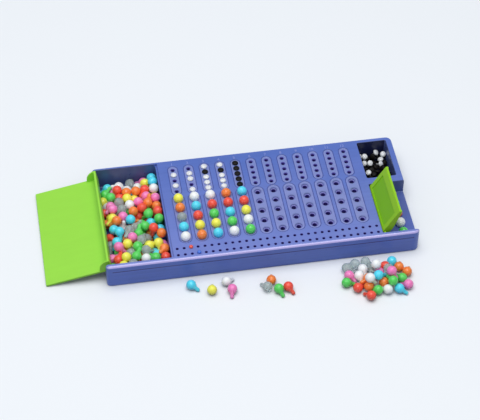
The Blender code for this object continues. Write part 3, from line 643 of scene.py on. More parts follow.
holes = {
    "key": 1.3, "score": 1.1, "code": 1.85, "sides": 16, "scoreLip": 0.3,
    "sinkRadius": 1.9, "sinkDepth": 0.5, "sinkFoot": 0.1, "sinkSlope": 0.15, "sinkRim": 0.12, "sinkLip": 0.05,
    "drop": 4.5, "neckRadius": 2.08, "neckDrop": 3.92,  # drops are from the ball's centre
    "seatPlay": 0.07, "seatAngle": 139, "seatSteps": 3, "seatLip": 0.05, "seatRise": 0.03, "seatSides": 24,
    "cupRadius": 2.48, "cupDrop": 3.53, "cupPlay": 0.03,
    "ringInner": 2.56, "ringOuter": 2.84, "ringTop": 3.0, "ringDrop": 3.6,
    "sleeveWall": 0.7, "sleeveLength": 4.0, "sleevePlay": 0.05, "sleeveSides": 14,
}


def holeGrids():  # (columns, rows, first place, last place) of each kind of hole
    rows = board["rows"] - 1
    scoreFirst = board["scoreFirst"] - Vector((board["scoreFirstHole"] * scorePitch.x, 0))
    scoreLast = scoreFirst + Vector(((board["scoreHoles"] - 1) * scorePitch.x, scorePitch.y))
    return {"key": (board["columns"], board["rows"], (firstColumn, board["keyFirst"].y),
                    (lastColumn, board["keyFirst"].y - rows * keyPitch)),
            "code": (board["columns"], board["rows"], (firstColumn, board["codeFirst"].y),
                     (lastColumn, board["codeFirst"].y - rows * codePitch)),
            "score": (board["scoreHoles"], board["scoreRows"], scoreFirst, scoreLast),
            "secret": (1, board["rows"], board["secretFirst"], secretLast)}


def seatProfile(surface, underside):  # seat that a ball touches all round, and the hole below it
    centre, seat, steps = surface + ballRise, headRadius + holes["seatPlay"], holes["seatSteps"]
    first, last = math.radians(holes["seatAngle"]), math.pi - math.acos(ballRise / seat)
    angles = [first + (last - first) * k / steps for k in range(steps + 1)]
    bowl = [(seat * math.sin(a), centre + seat * math.cos(a)) for a in angles]
    lip, foot = bowl[-1][0] + holes["seatLip"], underside - over
    return [(0, foot), (holes["code"], foot), (holes["code"], centre - holes["drop"]),
            (holes["neckRadius"], centre - holes["neckDrop"])] + bowl + [
                (lip, surface + holes["seatRise"]), (lip, surface + headroom), (0, surface + headroom)]


def cupProfile(surface, underside):  # skims the middle of a seat, for its paler finish of painted light
    centre, play, foot = surface + ballRise, holes["cupPlay"], underside - over
    return [(0, foot), (holes["code"] + play, foot), (holes["code"] + play, centre - holes["drop"] - play),
            (holes["neckRadius"] + play, centre - holes["neckDrop"] - play),
            (holes["cupRadius"], centre - holes["cupDrop"]), (holes["cupRadius"], surface + headroom),
            (0, surface + headroom)]


def ringSolid(surface):  # thin groove round the middle of a seat, dark with painted shade
    centre, inner, outer = surface + ballRise, holes["ringInner"], holes["ringOuter"]
    top, foot = centre - holes["ringTop"], centre - holes["ringDrop"]
    return turnedHoop([(inner, top), (inner, foot), (outer, foot), (outer, top)], holes["seatSides"])


def scoreProfile():
    radius, lip, foot, top = holes["score"], holes["scoreLip"], underDeck - over, deck + headroom
    edge = [(radius + out, z) for out, z in crestLevels(lip, deck + skim)]
    return [(0, foot), (radius, foot)] + edge + [(radius + lip, top), (0, top)]


def keyProfile(surface):  # key hole with a sunk ring round it
    hole, ring, foot = holes["key"], holes["sinkRadius"], underDeck - over
    floor, outer = surface - holes["sinkDepth"], ring + holes["sinkLip"]
    return [(0, foot), (hole, foot), (hole, floor - holes["sinkFoot"]), (hole + holes["sinkFoot"], floor),
            (ring - holes["sinkSlope"], surface - holes["sinkRim"]), (outer, surface + skim),
            (outer, surface + headroom), (0, surface + headroom)]


def holeCutters():
    grids, floor, sides, seatSides = holeGrids(), tray["recessFloor"], holes["sides"], holes["seatSides"]
    seat, secretSeat = seatProfile(fieldHeight, underDeck), seatProfile(floor, underRecess)
    # key and score holes and their sunk rings take the dark sleeve finish: painted shade
    return [gridOf("keyHoles", lathe(keyProfile(fieldHeight), sides), sleeveShadeFinish, *grids["key"]),
            gridOf("codeSeats", lathe(seat, seatSides), fieldFinish, *grids["code"]),
            gridOf("scoreHoles", lathe(scoreProfile(), sides), sleeveShadeFinish, *grids["score"]),
            gridOf("secretSeats", lathe(secretSeat, seatSides), fieldFinish, *grids["secret"])]


def cupCutters():
    grids, floor, sides = holeGrids(), tray["recessFloor"], holes["seatSides"]
    cup, secretCup = cupProfile(fieldHeight, underDeck), cupProfile(floor, underRecess)
    return [gridOf("codeCups", lathe(cup, sides), dishLitFinish, *grids["code"]),
            gridOf("secretCups", lathe(secretCup, sides), dishLitFinish, *grids["secret"]),
            gridOf("codeRings", ringSolid(fieldHeight), grooveShadeFinish, *grids["code"]),
            gridOf("secretRings", ringSolid(floor), grooveShadeFinish, *grids["secret"])]


def makeFieldTrim():  # bead inside each field, pale with a painted highlight, and sleeves that guide the stems below the deck, dark with painted shade
    ring = circle((-fields["beadIn"], fieldHeight), fields["beadRadius"], fields["beadSides"])
    parts = [rowOf(name + "Bead", pathHoop(plan, ring), beadHighlightFinish) for name, plan in fieldPlans(0).items()]
    for name, radius, top in (("key", holes["key"], underDeck), ("code", holes["code"], underDeck),
                              ("score", holes["score"], underDeck), ("secret", holes["code"], underRecess)):
        inner, outer = radius + holes["sleevePlay"], radius + holes["sleeveWall"]
        foot = top - holes["sleeveLength"]
        section = [(inner, foot), (outer, foot), (outer, top - skim), (inner, top - skim)]
        sleeve = turnedHoop(section, holes["sleeveSides"])
        parts.append(gridOf(name + "Sleeves", sleeve, sleeveShadeFinish, *holeGrids()[name]))
    for part in parts:
        smoothed(part)
        settle(part, "tray", "tray_plastic")
    print("beads and sleeves:", sum(len(part.data.polygons) for part in parts), "faces")


def makeTray():
    piece = addMesh("trayShell", trayBlank(), trayFinish, frontBrightenedFinish, crestHighlightFinish)
    for face in piece.data.polygons:  # the rail's front, brightened with painted light, and its crest, pale with a painted highlight
        if face.center.y < railInner * mm and face.normal.y < -tray["frontFacing"]:
            face.material_index = 1 if face.normal.z < tray["crestFacing"] else 2
    for number, (solid, finish) in enumerate(traySolids()):
        carve(piece, addMesh(f"trayCut{number}", solid, finish))
    for name, cutters in (("fieldCut", fieldCutters), ("holeCut", holeCutters), ("cupCut", cupCutters)):
        carve(piece, joinedCutter(name, cutters()))
    slots = [finish.name for finish in piece.data.materials]
    for face in piece.data.polygons:  # painted shade darkens the key box, but for the wall that faces the light
        if slots[face.material_index] == "inkBlue" and face.normal.x < -tray["sideFacing"]:
            face.material_index = slots.index("pocketBlue")
    smoothed(piece, levelFlat=True)
    settle(piece, "tray", "tray_plastic", "tray")
    print("tray:", len(piece.data.polygons), "faces")


makeTray()
makeFieldTrim()


numerals = {"height": 2.9, "sizeShare": 1.38, "rise": 0.12, "sink": 0.1, "y": 51.2, "curveSteps": 3,
            "weld": 0.001}


def makeNumerals():  # one to twelve, raised behind the columns
    parts = []
    for column in range(board["columns"]):
        text = bpy.data.curves.new(f"numeral{column + 1}", "FONT")
        text.body = str(column + 1)
        text.size = numerals["height"] * numerals["sizeShare"]
        text.align_x = "CENTER"
        text.extrude = (numerals["rise"] + numerals["sink"]) / 2
        text.resolution_u = numerals["curveSteps"]
        holder = bpy.data.objects.new(text.name, text)
        bpy.context.scene.collection.objects.link(holder)
        mesh = evaluatedMesh(holder)
        lift = deck + (numerals["rise"] - numerals["sink"]) / 2
        place = Vector((firstColumn + column * columnPitch, numerals["y"], lift))
        points = [place + point.co for point in mesh.vertices]
        parts.append((points, [tuple(face.vertices) for face in mesh.polygons]))
        bpy.data.objects.remove(holder, do_unlink=True)
    piece = addMesh("numeralSet", together(*parts), numeralFinish)
    with editing(piece.data) as bm:
        bmesh.ops.remove_doubles(bm, verts=bm.verts, dist=numerals["weld"] * mm)
        bmesh.ops.recalc_face_normals(bm, faces=bm.faces)
    settle(piece, "tray", "tray_plastic")
    print("numerals:", len(piece.data.polygons), "faces")


makeNumerals()


def hung(piece, joint, angle, yLow, yHigh, spec):  # gives a piece its hinge's pins and turns it to rest
    pins = []
    for y, side, play in ((yLow, -1, spec["frontPlay"]), (yHigh, 1, spec["backPlay"])):
        ends = sorted((y - side * spec["pinRoot"], y + side * (play + spec["pinReach"])))
        pins.append(prismAlongY(circle((0, 0), spec["pinRadius"], spec["pinSides"]), *ends))
    carve(piece, addMesh(piece.name + "Pins", together(*pins), piece.data.materials[0]), operation="UNION")
    turn = Matrix.Rotation(math.radians(angle), 4, "Y")
    piece.data.transform(Matrix.Translation(Vector(joint["pos_m"])) @ turn)
    smoothed(piece)


lid = {"thick": 2.0, "wallHeight": 11.6, "cheekRadius": 8.0, "cheekThick": 1.5, "cheekSteps": 10,
       "cheekEdge": 0.3, "pivotDrop": 5.5, "frontPlay": 3.5, "backPlay": 0.5, "edgePlay": 0.5, "edge": 0.35,
       "corner": 1.6, "wallCorner": 0.6, "innerCorner": 0.8, "freeInner": 0.5, "freeOuter": 0.8,
       "pinRadius": 0.9, "pinRoot": 0.7, "pinReach": 1.1, "pinSides": 16}


def makeLid():
    joint = jointNamed("storage_lid_hinge")
    pivot = Vector(joint["pos_m"]).x / mm
    yLow, yHigh = railInner + lid["frontPlay"], backInner - lid["backPlay"]
    left, free, top = trayLow.x - pivot, deckLeft - lid["edgePlay"] - pivot, lid["pivotDrop"]
    thick, foot, footCorner = lid["thick"], top - lid["wallHeight"], lid["wallCorner"]
    panel = filleted([(left, top, lid["corner"]), (left, foot, footCorner), (left + thick, foot, footCorner),
                      (left + thick, top - thick, lid["innerCorner"]), (free, top - thick, lid["freeInner"]),
                      (free, top, lid["freeOuter"])])
    piece = addMesh("lidPanel", prismAlongY(panel, yLow, yHigh), lidFinish)
    softened(piece, lid["edge"])
    apex = (left + thick / 2, top - thick / 2)
    reach, drop = lid["cheekRadius"] + thick / 2, lid["wallHeight"] - thick / 2
    cheek = [apex] + [(apex[0] + reach * math.cos(a), apex[1] - drop * math.sin(a))
                      for a in quarter(lid["cheekSteps"])]
    for start in (yLow + skim, yHigh - lid["cheekThick"] - skim):
        side = addMesh("cheek", prismAlongY(cheek, start, start + lid["cheekThick"]), lidFinish)
        softened(side, lid["cheekEdge"])
        carve(piece, side, operation="UNION")
    hung(piece, joint, -max(joint["range_deg"]), yLow, yHigh, lid)
    settle(piece, "storage_lid", "lid_plastic", "storage_lid")
    print("lid:", len(piece.data.polygons), "faces")


makeLid()


shield = {"face": 1.6, "wall": 1.5, "height": 6.0, "freeHeight": 2.2, "fullReach": 6.0, "barrel": 1.9,
          "barrelShare": 0.98, "edgeRadius": 1.4, "hingeFoot": 0.5, "wallFoot": 1.5, "freeFoot": 0.2,
          "outlineSteps": 6, "frontPlay": 2.7, "backPlay": 1.8, "fingerGap": 3.0, "edge": 0.3,
          "rubbedUp": 0.3, "rubbedBack": 0.5, "rubbedReachShare": 0.5, "planSteps": 3,
          "hollowCorner": 0.8, "hollowChamfer": 0.5, "fieldEnd": 4.2, "fieldHinge": 3.4, "fieldFree": 7.0,
          "fieldSink": 0.6, "fieldCorner": 0.6, "fieldLip": 0.2, "fieldFillet": 0.15,
          "pinRadius": 0.9, "pinRoot": 0.7, "pinReach": 1.1, "pinSides": 16}


def makeShield():
    joint = jointNamed("code_shield_hinge")
    barrel, wall, end = shield["barrel"], shield["wall"], shield["fieldEnd"]
    yLow, yHigh = railInner + shield["frontPlay"], recessBack - shield["backPlay"]
    free = trayHigh.x - shield["fingerGap"] - Vector(joint["pos_m"]).x / mm
    low = barrel - shield["height"]
    outline = filleted([(-barrel, low, shield["hingeFoot"]), (shield["fullReach"], low, shield["wallFoot"]),
                        (free, barrel - shield["freeHeight"], shield["freeFoot"]),
                        (free, barrel, shield["edgeRadius"]),
                        (-barrel, barrel, barrel * shield["barrelShare"])], steps=shield["outlineSteps"])
    piece = addMesh("shieldShell", prismAlongY(outline, yLow, yHigh), shieldFinish, shieldHighlightFinish)
    for face in piece.data.polygons:  # pale edge above the hinge: a painted highlight
        near = face.center.x < -barrel * shield["rubbedReachShare"] * mm
        if near and face.normal.z > shield["rubbedUp"] and face.normal.x < -shield["rubbedBack"]:
            face.material_index = 1
    softened(piece, shield["edge"])

    def plan(low, high, corner):
        return functools.partial(roundedPlan, low, high, (corner,) * 4, shield["planSteps"])

    inside = plan((-barrel + wall, yLow + wall), (free + over, yHigh - wall), shield["hollowCorner"])
    chamfer, ceiling = shield["hollowChamfer"], barrel - shield["face"]
    hollow = loft(atHeights(inside, [(0, low - over), (0, ceiling - chamfer), (chamfer, ceiling)]))
    carve(piece, addMesh("shieldHollow", hollow, shieldFinish))
    face = plan((-barrel + shield["fieldHinge"], yLow + end), (free - shield["fieldFree"], yHigh - end),
                shield["fieldCorner"])
    sunk = pocketLevels(barrel - shield["fieldSink"], barrel, shield["fieldLip"], shield["fieldFillet"])
    carve(piece, addMesh("shieldFieldCut", loft(atHeights(face, sunk)), shieldFieldFinish))
    hung(piece, joint, min(joint["range_deg"]), yLow, yHigh, shield)
    settle(piece, "code_shield", "shield_plastic", "code_shield")
    print("shield:", len(piece.data.polygons), "faces")


makeShield()


codePeg = {"length": 12.5, "neckAngle": 140, "stem": 1.6, "neck": 1.72, "neckDrop": 4.3,
           "flare": (2.0, -3.85), "tipRound": 1.2, "tipSteps": 4, "plainTipSteps": 2, "ballSteps": 14,
           "sides": 32}
domes = {"rim": 0.35, "underChamfer": 0.25, "rimFoot": (0.02, 0.12), "tipChamfer": (0.25, 0.3)}
keyPeg = {"head": 2.65, "height": 1.5, "stem": 0.95, "length": 6.0, "steps": 7, "sides": 24}
scorePeg = {"head": 1.75, "height": 1.8, "stem": 0.8, "length": 6.0, "steps": 6, "sides": 20}


def codePegProfile(ballSteps, plain=False):  # about the ball's centre, stem down
    tip, stem, curve = headRadius - codePeg["length"], codePeg["stem"], codePeg["tipRound"]
    steps = codePeg["plainTipSteps" if plain else "tipSteps"]
    end = [(stem - curve + curve * math.sin(a), tip + curve * (1 - math.cos(a))) for a in quarter(steps)]
    flare = [(codePeg["neck"], -codePeg["neckDrop"])] + ([] if plain else [codePeg["flare"]])
    first = math.radians(codePeg["neckAngle"])
    angles = [first * (1 - k / ballSteps) for k in range(ballSteps)]
    ball = [(headRadius * math.sin(a), headRadius * math.cos(a)) for a in angles]
    return [(0, tip)] + end + flare + ball + [(0, headRadius)]


def domedProfile(spec, steps):  # head's underside at zero, stem down
    head, height, stem, rim, foot = spec["head"], spec["height"], spec["stem"], domes["rim"], -spec["length"]
    (tipIn, tipUp), (rimIn, rimUp) = domes["tipChamfer"], domes["rimFoot"]
    dome = [(head * math.cos(a), rim + (height - rim) * math.sin(a)) for a in quarter(steps)[:-1]]
    return ([(0, foot), (stem - tipIn, foot), (stem, tipUp + foot), (stem, 0),
             (head - domes["underChamfer"], 0), (head - rimIn, rimUp)] + dome + [(0, height)])


def camelName(node):
    first, *rest = node.split("_")
    return first + "".join(word.capitalize() for word in rest)


def makeSeatedPegs():  # one piece for each peg that stands in a hole, on its own body
    ballPeg = lathe(codePegProfile(codePeg["ballSteps"]), codePeg["sides"])
    solids = {"code": (ballPeg, headRadius), "secret": (ballPeg, headRadius)}
    for kind, spec in (("key", keyPeg), ("score", scorePeg)):
        solids[kind] = (lathe(domedProfile(spec, spec["steps"]), spec["sides"]), spec["height"])
    entries = [entry for entry in frame["record"]["subparts"] if entry["node"][-1].isdigit()]
    for entry in entries:
        node, slot = entry["node"], entry["material_slot"]
        (points, faces), top = solids[node.split("_")[0]]
        centre = middle(node)
        centre.z = nodeBox(node)[1].z - top
        piece = addMesh(camelName(node), ([centre + Vector(point) for point in points], faces),
                        pegFinishes[slot.removeprefix("peg_")])
        piece.data.shade_smooth()
        settle(piece, node, slot, node)
    print("seated pegs:", len(entries))


makeSeatedPegs()


# Loose pegs: each is a row of balls that stands for its shape while the pegs are pushed apart
codeBalls = {"shares": np.array([0.0, 0.42, 0.7, 1.0]), "radii": np.array([headRadius, 2.2, 1.75, 1.6]),
             "length": 6.7}
keyBalls = {"shares": np.array([0.0, 0.55, 1.0]), "radii": np.array([2.5, 1.0, 1.0])}
settling = {"fallShare": 0.85, "tipFall": 0.8, "crowding": 0.6, "headGive": 0.3, "tipGive": 0.7,
            "leastGap": 1e-9, "leastReach": 1e-6}


def relaxed(heads, tips, balls, walls, rounds, sink, hold):  # pushes pegs apart until they only touch
    heads, tips = heads.copy(), tips.copy()
    anchors = heads[:, :2].copy()
    length = np.linalg.norm(tips - heads, axis=1)
    shares, pegs, count = balls["shares"], len(heads), len(balls["shares"])
    owner, share = np.repeat(np.arange(pegs), count), np.tile(shares, pegs)
    radius = np.tile(balls["radii"], pegs)
    first, second = np.triu_indices(pegs * count, 1)
    apart = owner[first] != owner[second]
    first, second = first[apart], second[apart]
    need = radius[first] + radius[second]
    toTip = share[:, None]
    weight = (1 - share) ** 2 + share ** 2
    for turn in range(rounds):
        fall = sink * (1 - turn / rounds) if turn < rounds * settling["fallShare"] else 0.0
        heads[:, 2] -= fall
        tips[:, 2] -= fall * settling["tipFall"]
        heads[:, :2] += hold * (anchors - heads[:, :2])
        points = heads[owner] * (1 - toTip) + tips[owner] * toTip
        gap = points[first] - points[second]
        near = np.abs(gap).max(1) < need
        a, b, gap = first[near], second[near], gap[near]
        distance = np.linalg.norm(gap, axis=1) + settling["leastGap"]
        hit = distance < need[near]
        a, b, gap, distance = a[hit], b[hit], gap[hit], distance[hit]
        push = gap / distance[:, None] * ((need[near][hit] - distance) / 2)[:, None]
        moveHead, moveTip = np.zeros_like(heads), np.zeros_like(tips)
        countHead, countTip = np.zeros(pegs), np.zeros(pegs)
        for ball, side in ((a, 1.0), (b, -1.0)):
            peg, s = owner[ball], share[ball]
            np.add.at(moveHead, peg, side * push * ((1 - s) / weight[ball])[:, None])
            np.add.at(moveTip, peg, side * push * (s / weight[ball])[:, None])
            np.add.at(countHead, peg, 1 - s)
            np.add.at(countTip, peg, s)
        heads += moveHead / np.maximum(1, countHead * settling["crowding"])[:, None]
        tips += moveTip / np.maximum(1, countTip * settling["crowding"])[:, None]
        points = heads[owner] * (1 - toTip) + tips[owner] * toTip
        back = walls(points, radius) - points
        moveHead[:], moveTip[:] = 0, 0
        for ball in range(count):
            s, w, part = shares[ball], weight[ball], back[ball::count]
            for move, step in ((moveHead, part * (1 - s) / w), (moveTip, part * s / w)):
                np.copyto(move, step, where=np.abs(step) > np.abs(move))
        heads += moveHead
        tips += moveTip
        axis = tips - heads
        now = np.linalg.norm(axis, axis=1)
        stretch = axis * ((now - length) / now)[:, None]
        heads += stretch * settling["headGive"]
        tips -= stretch * settling["tipGive"]
    return heads, tips


def roomWalls(low, high, rod=None):  # pushes points back inside a box, and off a rod along Y
    def walls(points, radius):
        inside = points.copy()
        for _ in range(2):
            for axis in range(3):
                inside[:, axis] = np.clip(inside[:, axis], low[axis] + radius, high[axis] - radius)
            if rod:
                atEnd = (inside[:, 1] - radius < rod["low"]) | (inside[:, 1] + radius > rod["high"])
                wanted = np.where(atEnd, rod["endReach"], rod["reach"]) + radius
                dx, dz = inside[:, 0] - rod["x"], inside[:, 2] - rod["z"]
                distance = np.maximum(np.hypot(dx, dz), settling["leastReach"])
                scale = np.maximum(wanted / distance, 1.0)
                inside[:, 0], inside[:, 2] = rod["x"] + dx * scale, rod["z"] + dz * scale
        return inside
    return walls


colourNames = list(pegFinishes)
heapTree = buildHeapTree(colourNames)


def layPegs(name, solid, heads, tips, colours, slot, *nodes):
    seed = addMesh(name + "Seed", solid)
    seed.data.shade_smooth()
    points = addMesh(name, ([tuple(head) for head in heads], []))
    down = Vector((0, 0, -1))
    turns = [angle for axis in tips - heads for angle in down.rotation_difference(Vector(axis)).to_euler()]
    points.data.attributes.new("turn", "FLOAT_VECTOR", "POINT").data.foreach_set("vector", turns)
    paints = [colourNames.index(colour) for colour in colours]
    points.data.attributes.new("colour", "INT", "POINT").data.foreach_set("value", paints)
    inputs = {"Finish " + colour: finish for colour, finish in pegFinishes.items()}
    grown(points, seed, heapTree, {"Peg": seed, **inputs})
    settle(points, "tray", slot, *nodes)
    print(name + ":", len(heads), "pegs,", len(points.data.polygons), "faces")


def directed(dice, yaws, tilts, heads, length):  # tips for heads, by a yaw in degrees or a free one
    tips = []
    for head, yaw in zip(heads, yaws):
        turn = math.radians(yaw) if yaw is not None else dice.uniform(-math.pi, math.pi)
        tilt = math.radians(dice.uniform(*tilts))
        tips.append(Vector(head) + length * Vector(
            (math.cos(tilt) * math.cos(turn), math.cos(tilt) * math.sin(turn), math.sin(tilt))))
    return np.array([tuple(tip) for tip in tips])


# Top pegs of the bin, from back to front: colour, mm from the bin's left wall and from the rail, stem's yaw
heapTop = (
    ("sky", 49.2, 103), ("green", 49.2, 98), ("pink", 40, 103), ("white", 35, 101), ("yellow", 44, 98),
    ("clear", 30, 104), ("sky", 49.2, 94), ("white", 49.2, 86), ("white", 19, 101), ("white", 27, 98),
    ("sky", 10, 100), ("pink", 15, 95), ("green", 8, 93), ("red", 19, 88), ("orange", 25, 87),
    ("orange", 33, 87), ("red", 41, 87), ("pink", 41, 80, -81), ("yellow", 23, 78), ("yellow", 29, 78),
    ("red", 18, 81), ("pink", 49.2, 77), ("yellow", 48.4, 79), ("green", 13, 78), ("pink", 7, 76, -58),
    ("clear", 19, 74), ("clear", 18, 69), ("white", 25, 72), ("pink", 31, 73), ("red", 37, 68),
    ("orange", 43, 69), ("red", 48.4, 65), ("orange", 49.2, 71), ("red", 49.2, 62), ("orange", 30, 66),
    ("orange", 24, 61), ("pink", 10, 69), ("pink", 18, 61), ("yellow", 9, 61), ("white", 18, 54),
    ("orange", 12, 57), ("sky", 25, 52), ("green", 32, 53), ("green", 40, 59), ("sky", 40, 53, -31),
    ("green", 49.2, 53), ("sky", 49.2, 47), ("sky", 10, 51), ("sky", 15, 43, -65), ("clear", 27, 47),
    ("clear", 22, 42), ("green", 36, 47, -19), ("red", 42, 43), ("orange", 48.4, 37, 17), ("red", 8, 43),
    ("green", 29, 39, 50), ("clear", 36, 37), ("pink", 49.2, 29, -84), ("clear", 6, 35), ("sky", 11, 32),
    ("yellow", 19, 28), ("pink", 24, 32), ("clear", 31, 29), ("yellow", 36, 25), ("yellow", 41, 26),
    ("green", 27, 22), ("pink", 14, 25, -52), ("orange", 48.4, 19), ("clear", 33, 19), ("orange", 49.2, 14),
    ("pink", 8, 19), ("red", 7, 14), ("yellow", 16, 13), ("clear", 21, 17), ("orange", 27, 15),
    ("white", 32, 11), ("green", 40, 13), ("sky", 44, 14), ("red", 48.4, 10), ("green", 23, 9),
    ("yellow", 11, 8), ("clear", 19, 8), ("white", 49.2, 7), ("orange", 28, 9))
heap = {"below": 54, "belowLeft": 6, "belowRight": 5, "belowFront": 5, "belowBack": 84,
        "belowHeights": (5, 8), "belowColours": 6, "seed": 4, "rounds": 420, "quickRounds": 60, "sink": 0.12,
        "hold": 0.03, "frontHeight": 16.2, "backHeight": 8.0, "lift": 4.0, "tilts": (-60, 5), "side": 0.05,
        "floorPlay": 0.1, "ceiling": 19.2, "lidReach": 6.9, "cheekReach": 9.4, "cheekPlay": 0.4,
        "cheekBack": 2.4, "ballSteps": 8, "sides": 16}


def makeStorageHeap():
    dice = random.Random(heap["seed"])
    depth = backInner - railInner
    heads, yaws, colours = [], [], []
    for colour, along, up, *yaw in heapTop:
        height = heap["frontHeight"] + (heap["backHeight"] - heap["frontHeight"]) * up / depth + heap["lift"]
        heads.append((binLeft + along, railInner + up, height))
        yaws.append(yaw[0] if yaw else None)
        colours.append(colour)
    for _ in range(heap["below"]):
        heads.append((dice.uniform(binLeft + heap["belowLeft"], binRight - heap["belowRight"]),
                      dice.uniform(railInner + heap["belowFront"], railInner + heap["belowBack"]),
                      dice.uniform(*heap["belowHeights"])))
        yaws.append(None)
        colours.append(dice.choice(colourNames[:heap["belowColours"]]))
    heads = np.array(heads)
    tips = directed(dice, yaws, heap["tilts"], heads, codeBalls["length"])
    pivot = Vector(jointNamed("storage_lid_hinge")["pos_m"]) / mm
    low = (binLeft + heap["side"], railInner + heap["side"], tray["floor"] + heap["floorPlay"])
    high = (binRight - heap["side"], backInner - heap["side"], heap["ceiling"])
    rod = {"x": pivot.x, "z": pivot.z, "reach": heap["lidReach"], "endReach": heap["cheekReach"],
           "low": railInner + lid["frontPlay"] + lid["cheekThick"] + heap["cheekPlay"],
           "high": backInner - heap["cheekBack"]}
    rounds = heap["rounds"]
    heads, tips = relaxed(heads, tips, codeBalls, roomWalls(low, high, rod), rounds, heap["sink"],
                          heap["hold"])
    solid = lathe(codePegProfile(heap["ballSteps"], plain=True), heap["sides"])
    layPegs("storageHeap", solid, heads, tips, colours, "peg_mixed", "storage_peg_heap")


makeStorageHeap()


# White pegs that show in the key box: mm from its left and front walls
keyWhites = ((3.2, 39.8), (6.4, 36), (4.6, 30.6), (8.9, 25.4), (4.5, 14.6), (17.3, 39.5), (19.6, 33.4),
             (23, 36), (19, 26.5))
keyHeap = {"blacks": 62, "inset": 3, "seed": 7, "rounds": 260, "quickRounds": 60, "sink": 0.1,
           "whiteHold": 0.3, "blackHold": 0.01, "top": 9.5, "blackHeights": (3, 8.0),
           "whiteTilts": (-80, -60), "blackTilts": (-60, 10), "side": 0.2, "floorPlay": 0.1, "rimDrop": 4,
           "headMiddle": 0.9, "domeSteps": 4, "sides": 12}


def makeKeyHeap():
    dice = random.Random(keyHeap["seed"])
    heads = [(keyBoxLeft + x, keyBoxFront + y, keyHeap["top"]) for x, y in keyWhites]
    whites, blacks, inset, side = len(heads), keyHeap["blacks"], keyHeap["inset"], keyHeap["side"]
    for _ in range(blacks):
        heads.append((dice.uniform(keyBoxLeft + inset, keyBoxRight - inset),
                      dice.uniform(keyBoxFront + inset, keyBoxBack - inset),
                      dice.uniform(*keyHeap["blackHeights"])))
    heads = np.array(heads)
    tips = np.vstack([directed(dice, [None] * len(some), keyHeap[tilts], some, keyPeg["length"])
                      for some, tilts in ((heads[:whites], "whiteTilts"), (heads[whites:], "blackTilts"))])
    hold = np.where(np.arange(len(heads)) < whites, keyHeap["whiteHold"], keyHeap["blackHold"])[:, None]
    low = (keyBoxLeft + side, keyBoxFront + side, tray["floor"] + keyHeap["floorPlay"])
    high = (keyBoxRight - side, keyBoxBack - side, deck - keyHeap["rimDrop"])
    rounds = keyHeap["rounds"]
    heads, tips = relaxed(heads, tips, keyBalls, roomWalls(low, high), rounds, keyHeap["sink"], hold)
    profile = [(r, z - keyHeap["headMiddle"]) for r, z in domedProfile(keyPeg, keyHeap["domeSteps"])]
    layPegs("keyHeap", lathe(profile, keyHeap["sides"]), heads, tips, ["white"] * whites + ["black"] * blacks,
            "peg_black", "key_peg_heap")


makeKeyHeap()


# Pegs on the table: colour, mm from the tray's middle and from its front, stem's yaw, layer
tablePile = (
    ("clear", 66, 15, None, 0), ("clear", 75, 12, None, 0), ("clear", 84, 13, None, 0),
    ("clear", 87, 18, None, 0), ("white", 89, 20, None, 1), ("sky", 104, 13, None, 0),
    ("red", 97, 17, None, 0), ("orange", 109, 19, None, 0), ("clear", 99, 26, None, 1),
    ("orange", 113, 26, None, 0), ("pink", 91, 22, None, 0), ("sky", 89, 32, None, 1),
    ("white", 80, 18, -117, 0), ("white", 75, 22, None, 0), ("pink", 68, 22, -46, 0),
    ("green", 63, 29, 9, 0), ("orange", 80, 30, -144, 1), ("white", 81, 34, -18, 1),
    ("red", 71, 36, None, 0), ("orange", 81, 36, None, 0), ("red", 80, 45, 144, 0),
    ("green", 87, 40, None, 0), ("white", 94, 40, 118, 0), ("orange", 94, 32, None, 0),
    ("pink", 99, 30, None, 1), ("green", 99, 37, 118, 1), ("green", 110, 31, 138, 0),
    ("sky", 104, 42, None, 0), ("pink", 112, 38, 152, 0), ("green", 98, 30, None, 0))
strays = (
    ("sky", -63, 12, -39), ("yellow", -47, 20, 80), ("white", -34, 12.5, 29), ("pink", -30.5, 21.5, -102),
    ("orange", 2.5, 17, 80), ("clear", -1.7, 23.5, 128), ("green", 7, 27, -68), ("red", 15, 26, -59))
pile = {"seed": 11, "rounds": 200, "sink": 0.08, "hold": 0.02, "layer": 5.5, "droop": -20, "tipRadius": 1.6,
        "low": (-200, -200, 0.0), "high": (200, 200, 60), "ballSteps": 9, "sides": 18}


def pileSpots(entries, droop, dice):
    heads = [(x, trayLow.y - y, headRadius + layer * pile["layer"]) for _, x, y, _, layer in entries]
    heads = np.array(heads)
    return heads, directed(dice, [entry[3] for entry in entries], (droop, droop), heads, codeBalls["length"])


def makeTablePegs():
    dice = random.Random(pile["seed"])
    solid = lathe(codePegProfile(pile["ballSteps"], plain=True), pile["sides"])
    heads, tips = pileSpots(tablePile, pile["droop"], dice)
    heads, tips = relaxed(heads, tips, codeBalls, roomWalls(pile["low"], pile["high"]), pile["rounds"],
                          pile["sink"], pile["hold"])
    layPegs("tablePile", solid, heads, tips, [entry[0] for entry in tablePile], "peg_mixed", "table_peg_pile")
    lying = -math.degrees(math.asin((headRadius - pile["tipRadius"]) / codeBalls["length"]))
    heads, tips = pileSpots([(*entry, 0) for entry in strays], lying, dice)
    layPegs("strayPegs", solid, heads, tips, [entry[0] for entry in strays], "peg_mixed")


makeTablePegs()


# Table, light and camera
studio = {"floorSize": 6.0, "floorHeight": -0.05, "floorRoughness": 0.8, "floorShown": (236, 239, 243),
          "floorBounce": (108, 114, 128), "worldShown": (240, 243, 247), "worldLight": (0.9, 0.95, 1.0),
          "worldStrength": 0.4,
          "lamps": (("key", (-0.1, -0.1, 1.98), 2.0, 33.0), ("fill", (-0.5, -1.8, 0.65), 1.2, 1.5))}


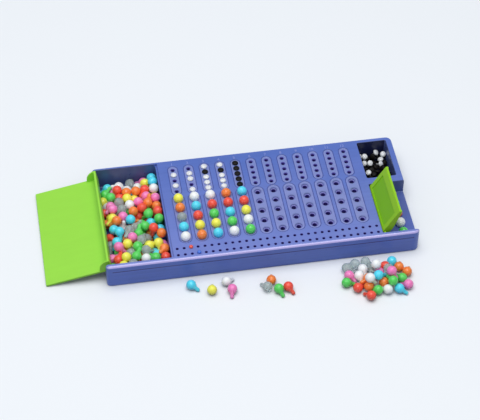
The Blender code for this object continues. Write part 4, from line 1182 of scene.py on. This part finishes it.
def makeFloor():  # the eye and gloss see it pale, but it throws less light on the pieces
    half, z = studio["floorSize"] / 2 / mm, studio["floorHeight"]
    finish = bpy.data.materials.new("tableTop")
    finish.use_nodes = True
    tree = finish.node_tree
    shader = tree.nodes["Principled BSDF"]
    shader.inputs["Roughness"].default_value = studio["floorRoughness"]
    path = addNode(tree, "ShaderNodeLightPath").outputs
    seen = addNode(tree, "ShaderNodeMath", {0: path["Is Camera Ray"], 1: path["Is Glossy Ray"]},
                   operation="MAXIMUM")
    mixed = addNode(tree, "ShaderNodeMix", {"Factor": seen.outputs[0], "A": linear(studio["floorBounce"]),
                                            "B": linear(studio["floorShown"])}, data_type="RGBA")
    tree.links.new(mixed.outputs["Result"], shader.inputs["Base Color"])
    addMesh("table", ([(-half, -half, z), (half, -half, z), (half, half, z), (-half, half, z)],
                               [(0, 1, 2, 3)]), finish)


def makeWorld():
    world = bpy.data.worlds.new("studio")
    world.use_nodes = True
    bpy.context.scene.world = world
    tree = world.node_tree
    light = tree.nodes["Background"]
    light.inputs["Color"].default_value = (*studio["worldLight"], 1.0)
    light.inputs["Strength"].default_value = studio["worldStrength"]
    shown = addNode(tree, "ShaderNodeBackground", {"Color": linear(studio["worldShown"])})
    path = addNode(tree, "ShaderNodeLightPath")
    mixed = addNode(tree, "ShaderNodeMixShader", {0: path.outputs["Is Camera Ray"], 1: light.outputs[0],
                                                  2: shown.outputs[0]})
    tree.links.new(mixed.outputs[0], tree.nodes["World Output"].inputs["Surface"])


def makeLamps():
    for name, place, size, power in studio["lamps"]:
        lamp = bpy.data.lights.new(name, "AREA")
        lamp.shape = "DISK"
        lamp.size = size
        lamp.energy = power
        holder = bpy.data.objects.new(name, lamp)
        bpy.context.scene.collection.objects.link(holder)
        holder.location = place
        holder.rotation_euler = (-Vector(place)).to_track_quat("-Z", "Y").to_euler()


camera = {"lens": 130.8, "sensor": 36.0, "place": (-0.183, -0.997, 1.078), "turn": (43.5, -0.41, -9.34)}


def makeCamera():
    seen = bpy.data.cameras.new("photoView")
    seen.lens, seen.sensor_width = camera["lens"], camera["sensor"]
    holder = bpy.data.objects.new("photoView", seen)
    bpy.context.scene.collection.objects.link(holder)
    turn = Euler([math.radians(angle) for angle in camera["turn"]])
    holder.matrix_world = Matrix.Translation(camera["place"]) @ turn.to_matrix().to_4x4()
    bpy.context.scene.camera = holder


makeFloor()
makeWorld()
makeLamps()
makeCamera()
bpy.context.scene.view_settings.view_transform = "Standard"
print("table, lights and camera placed")
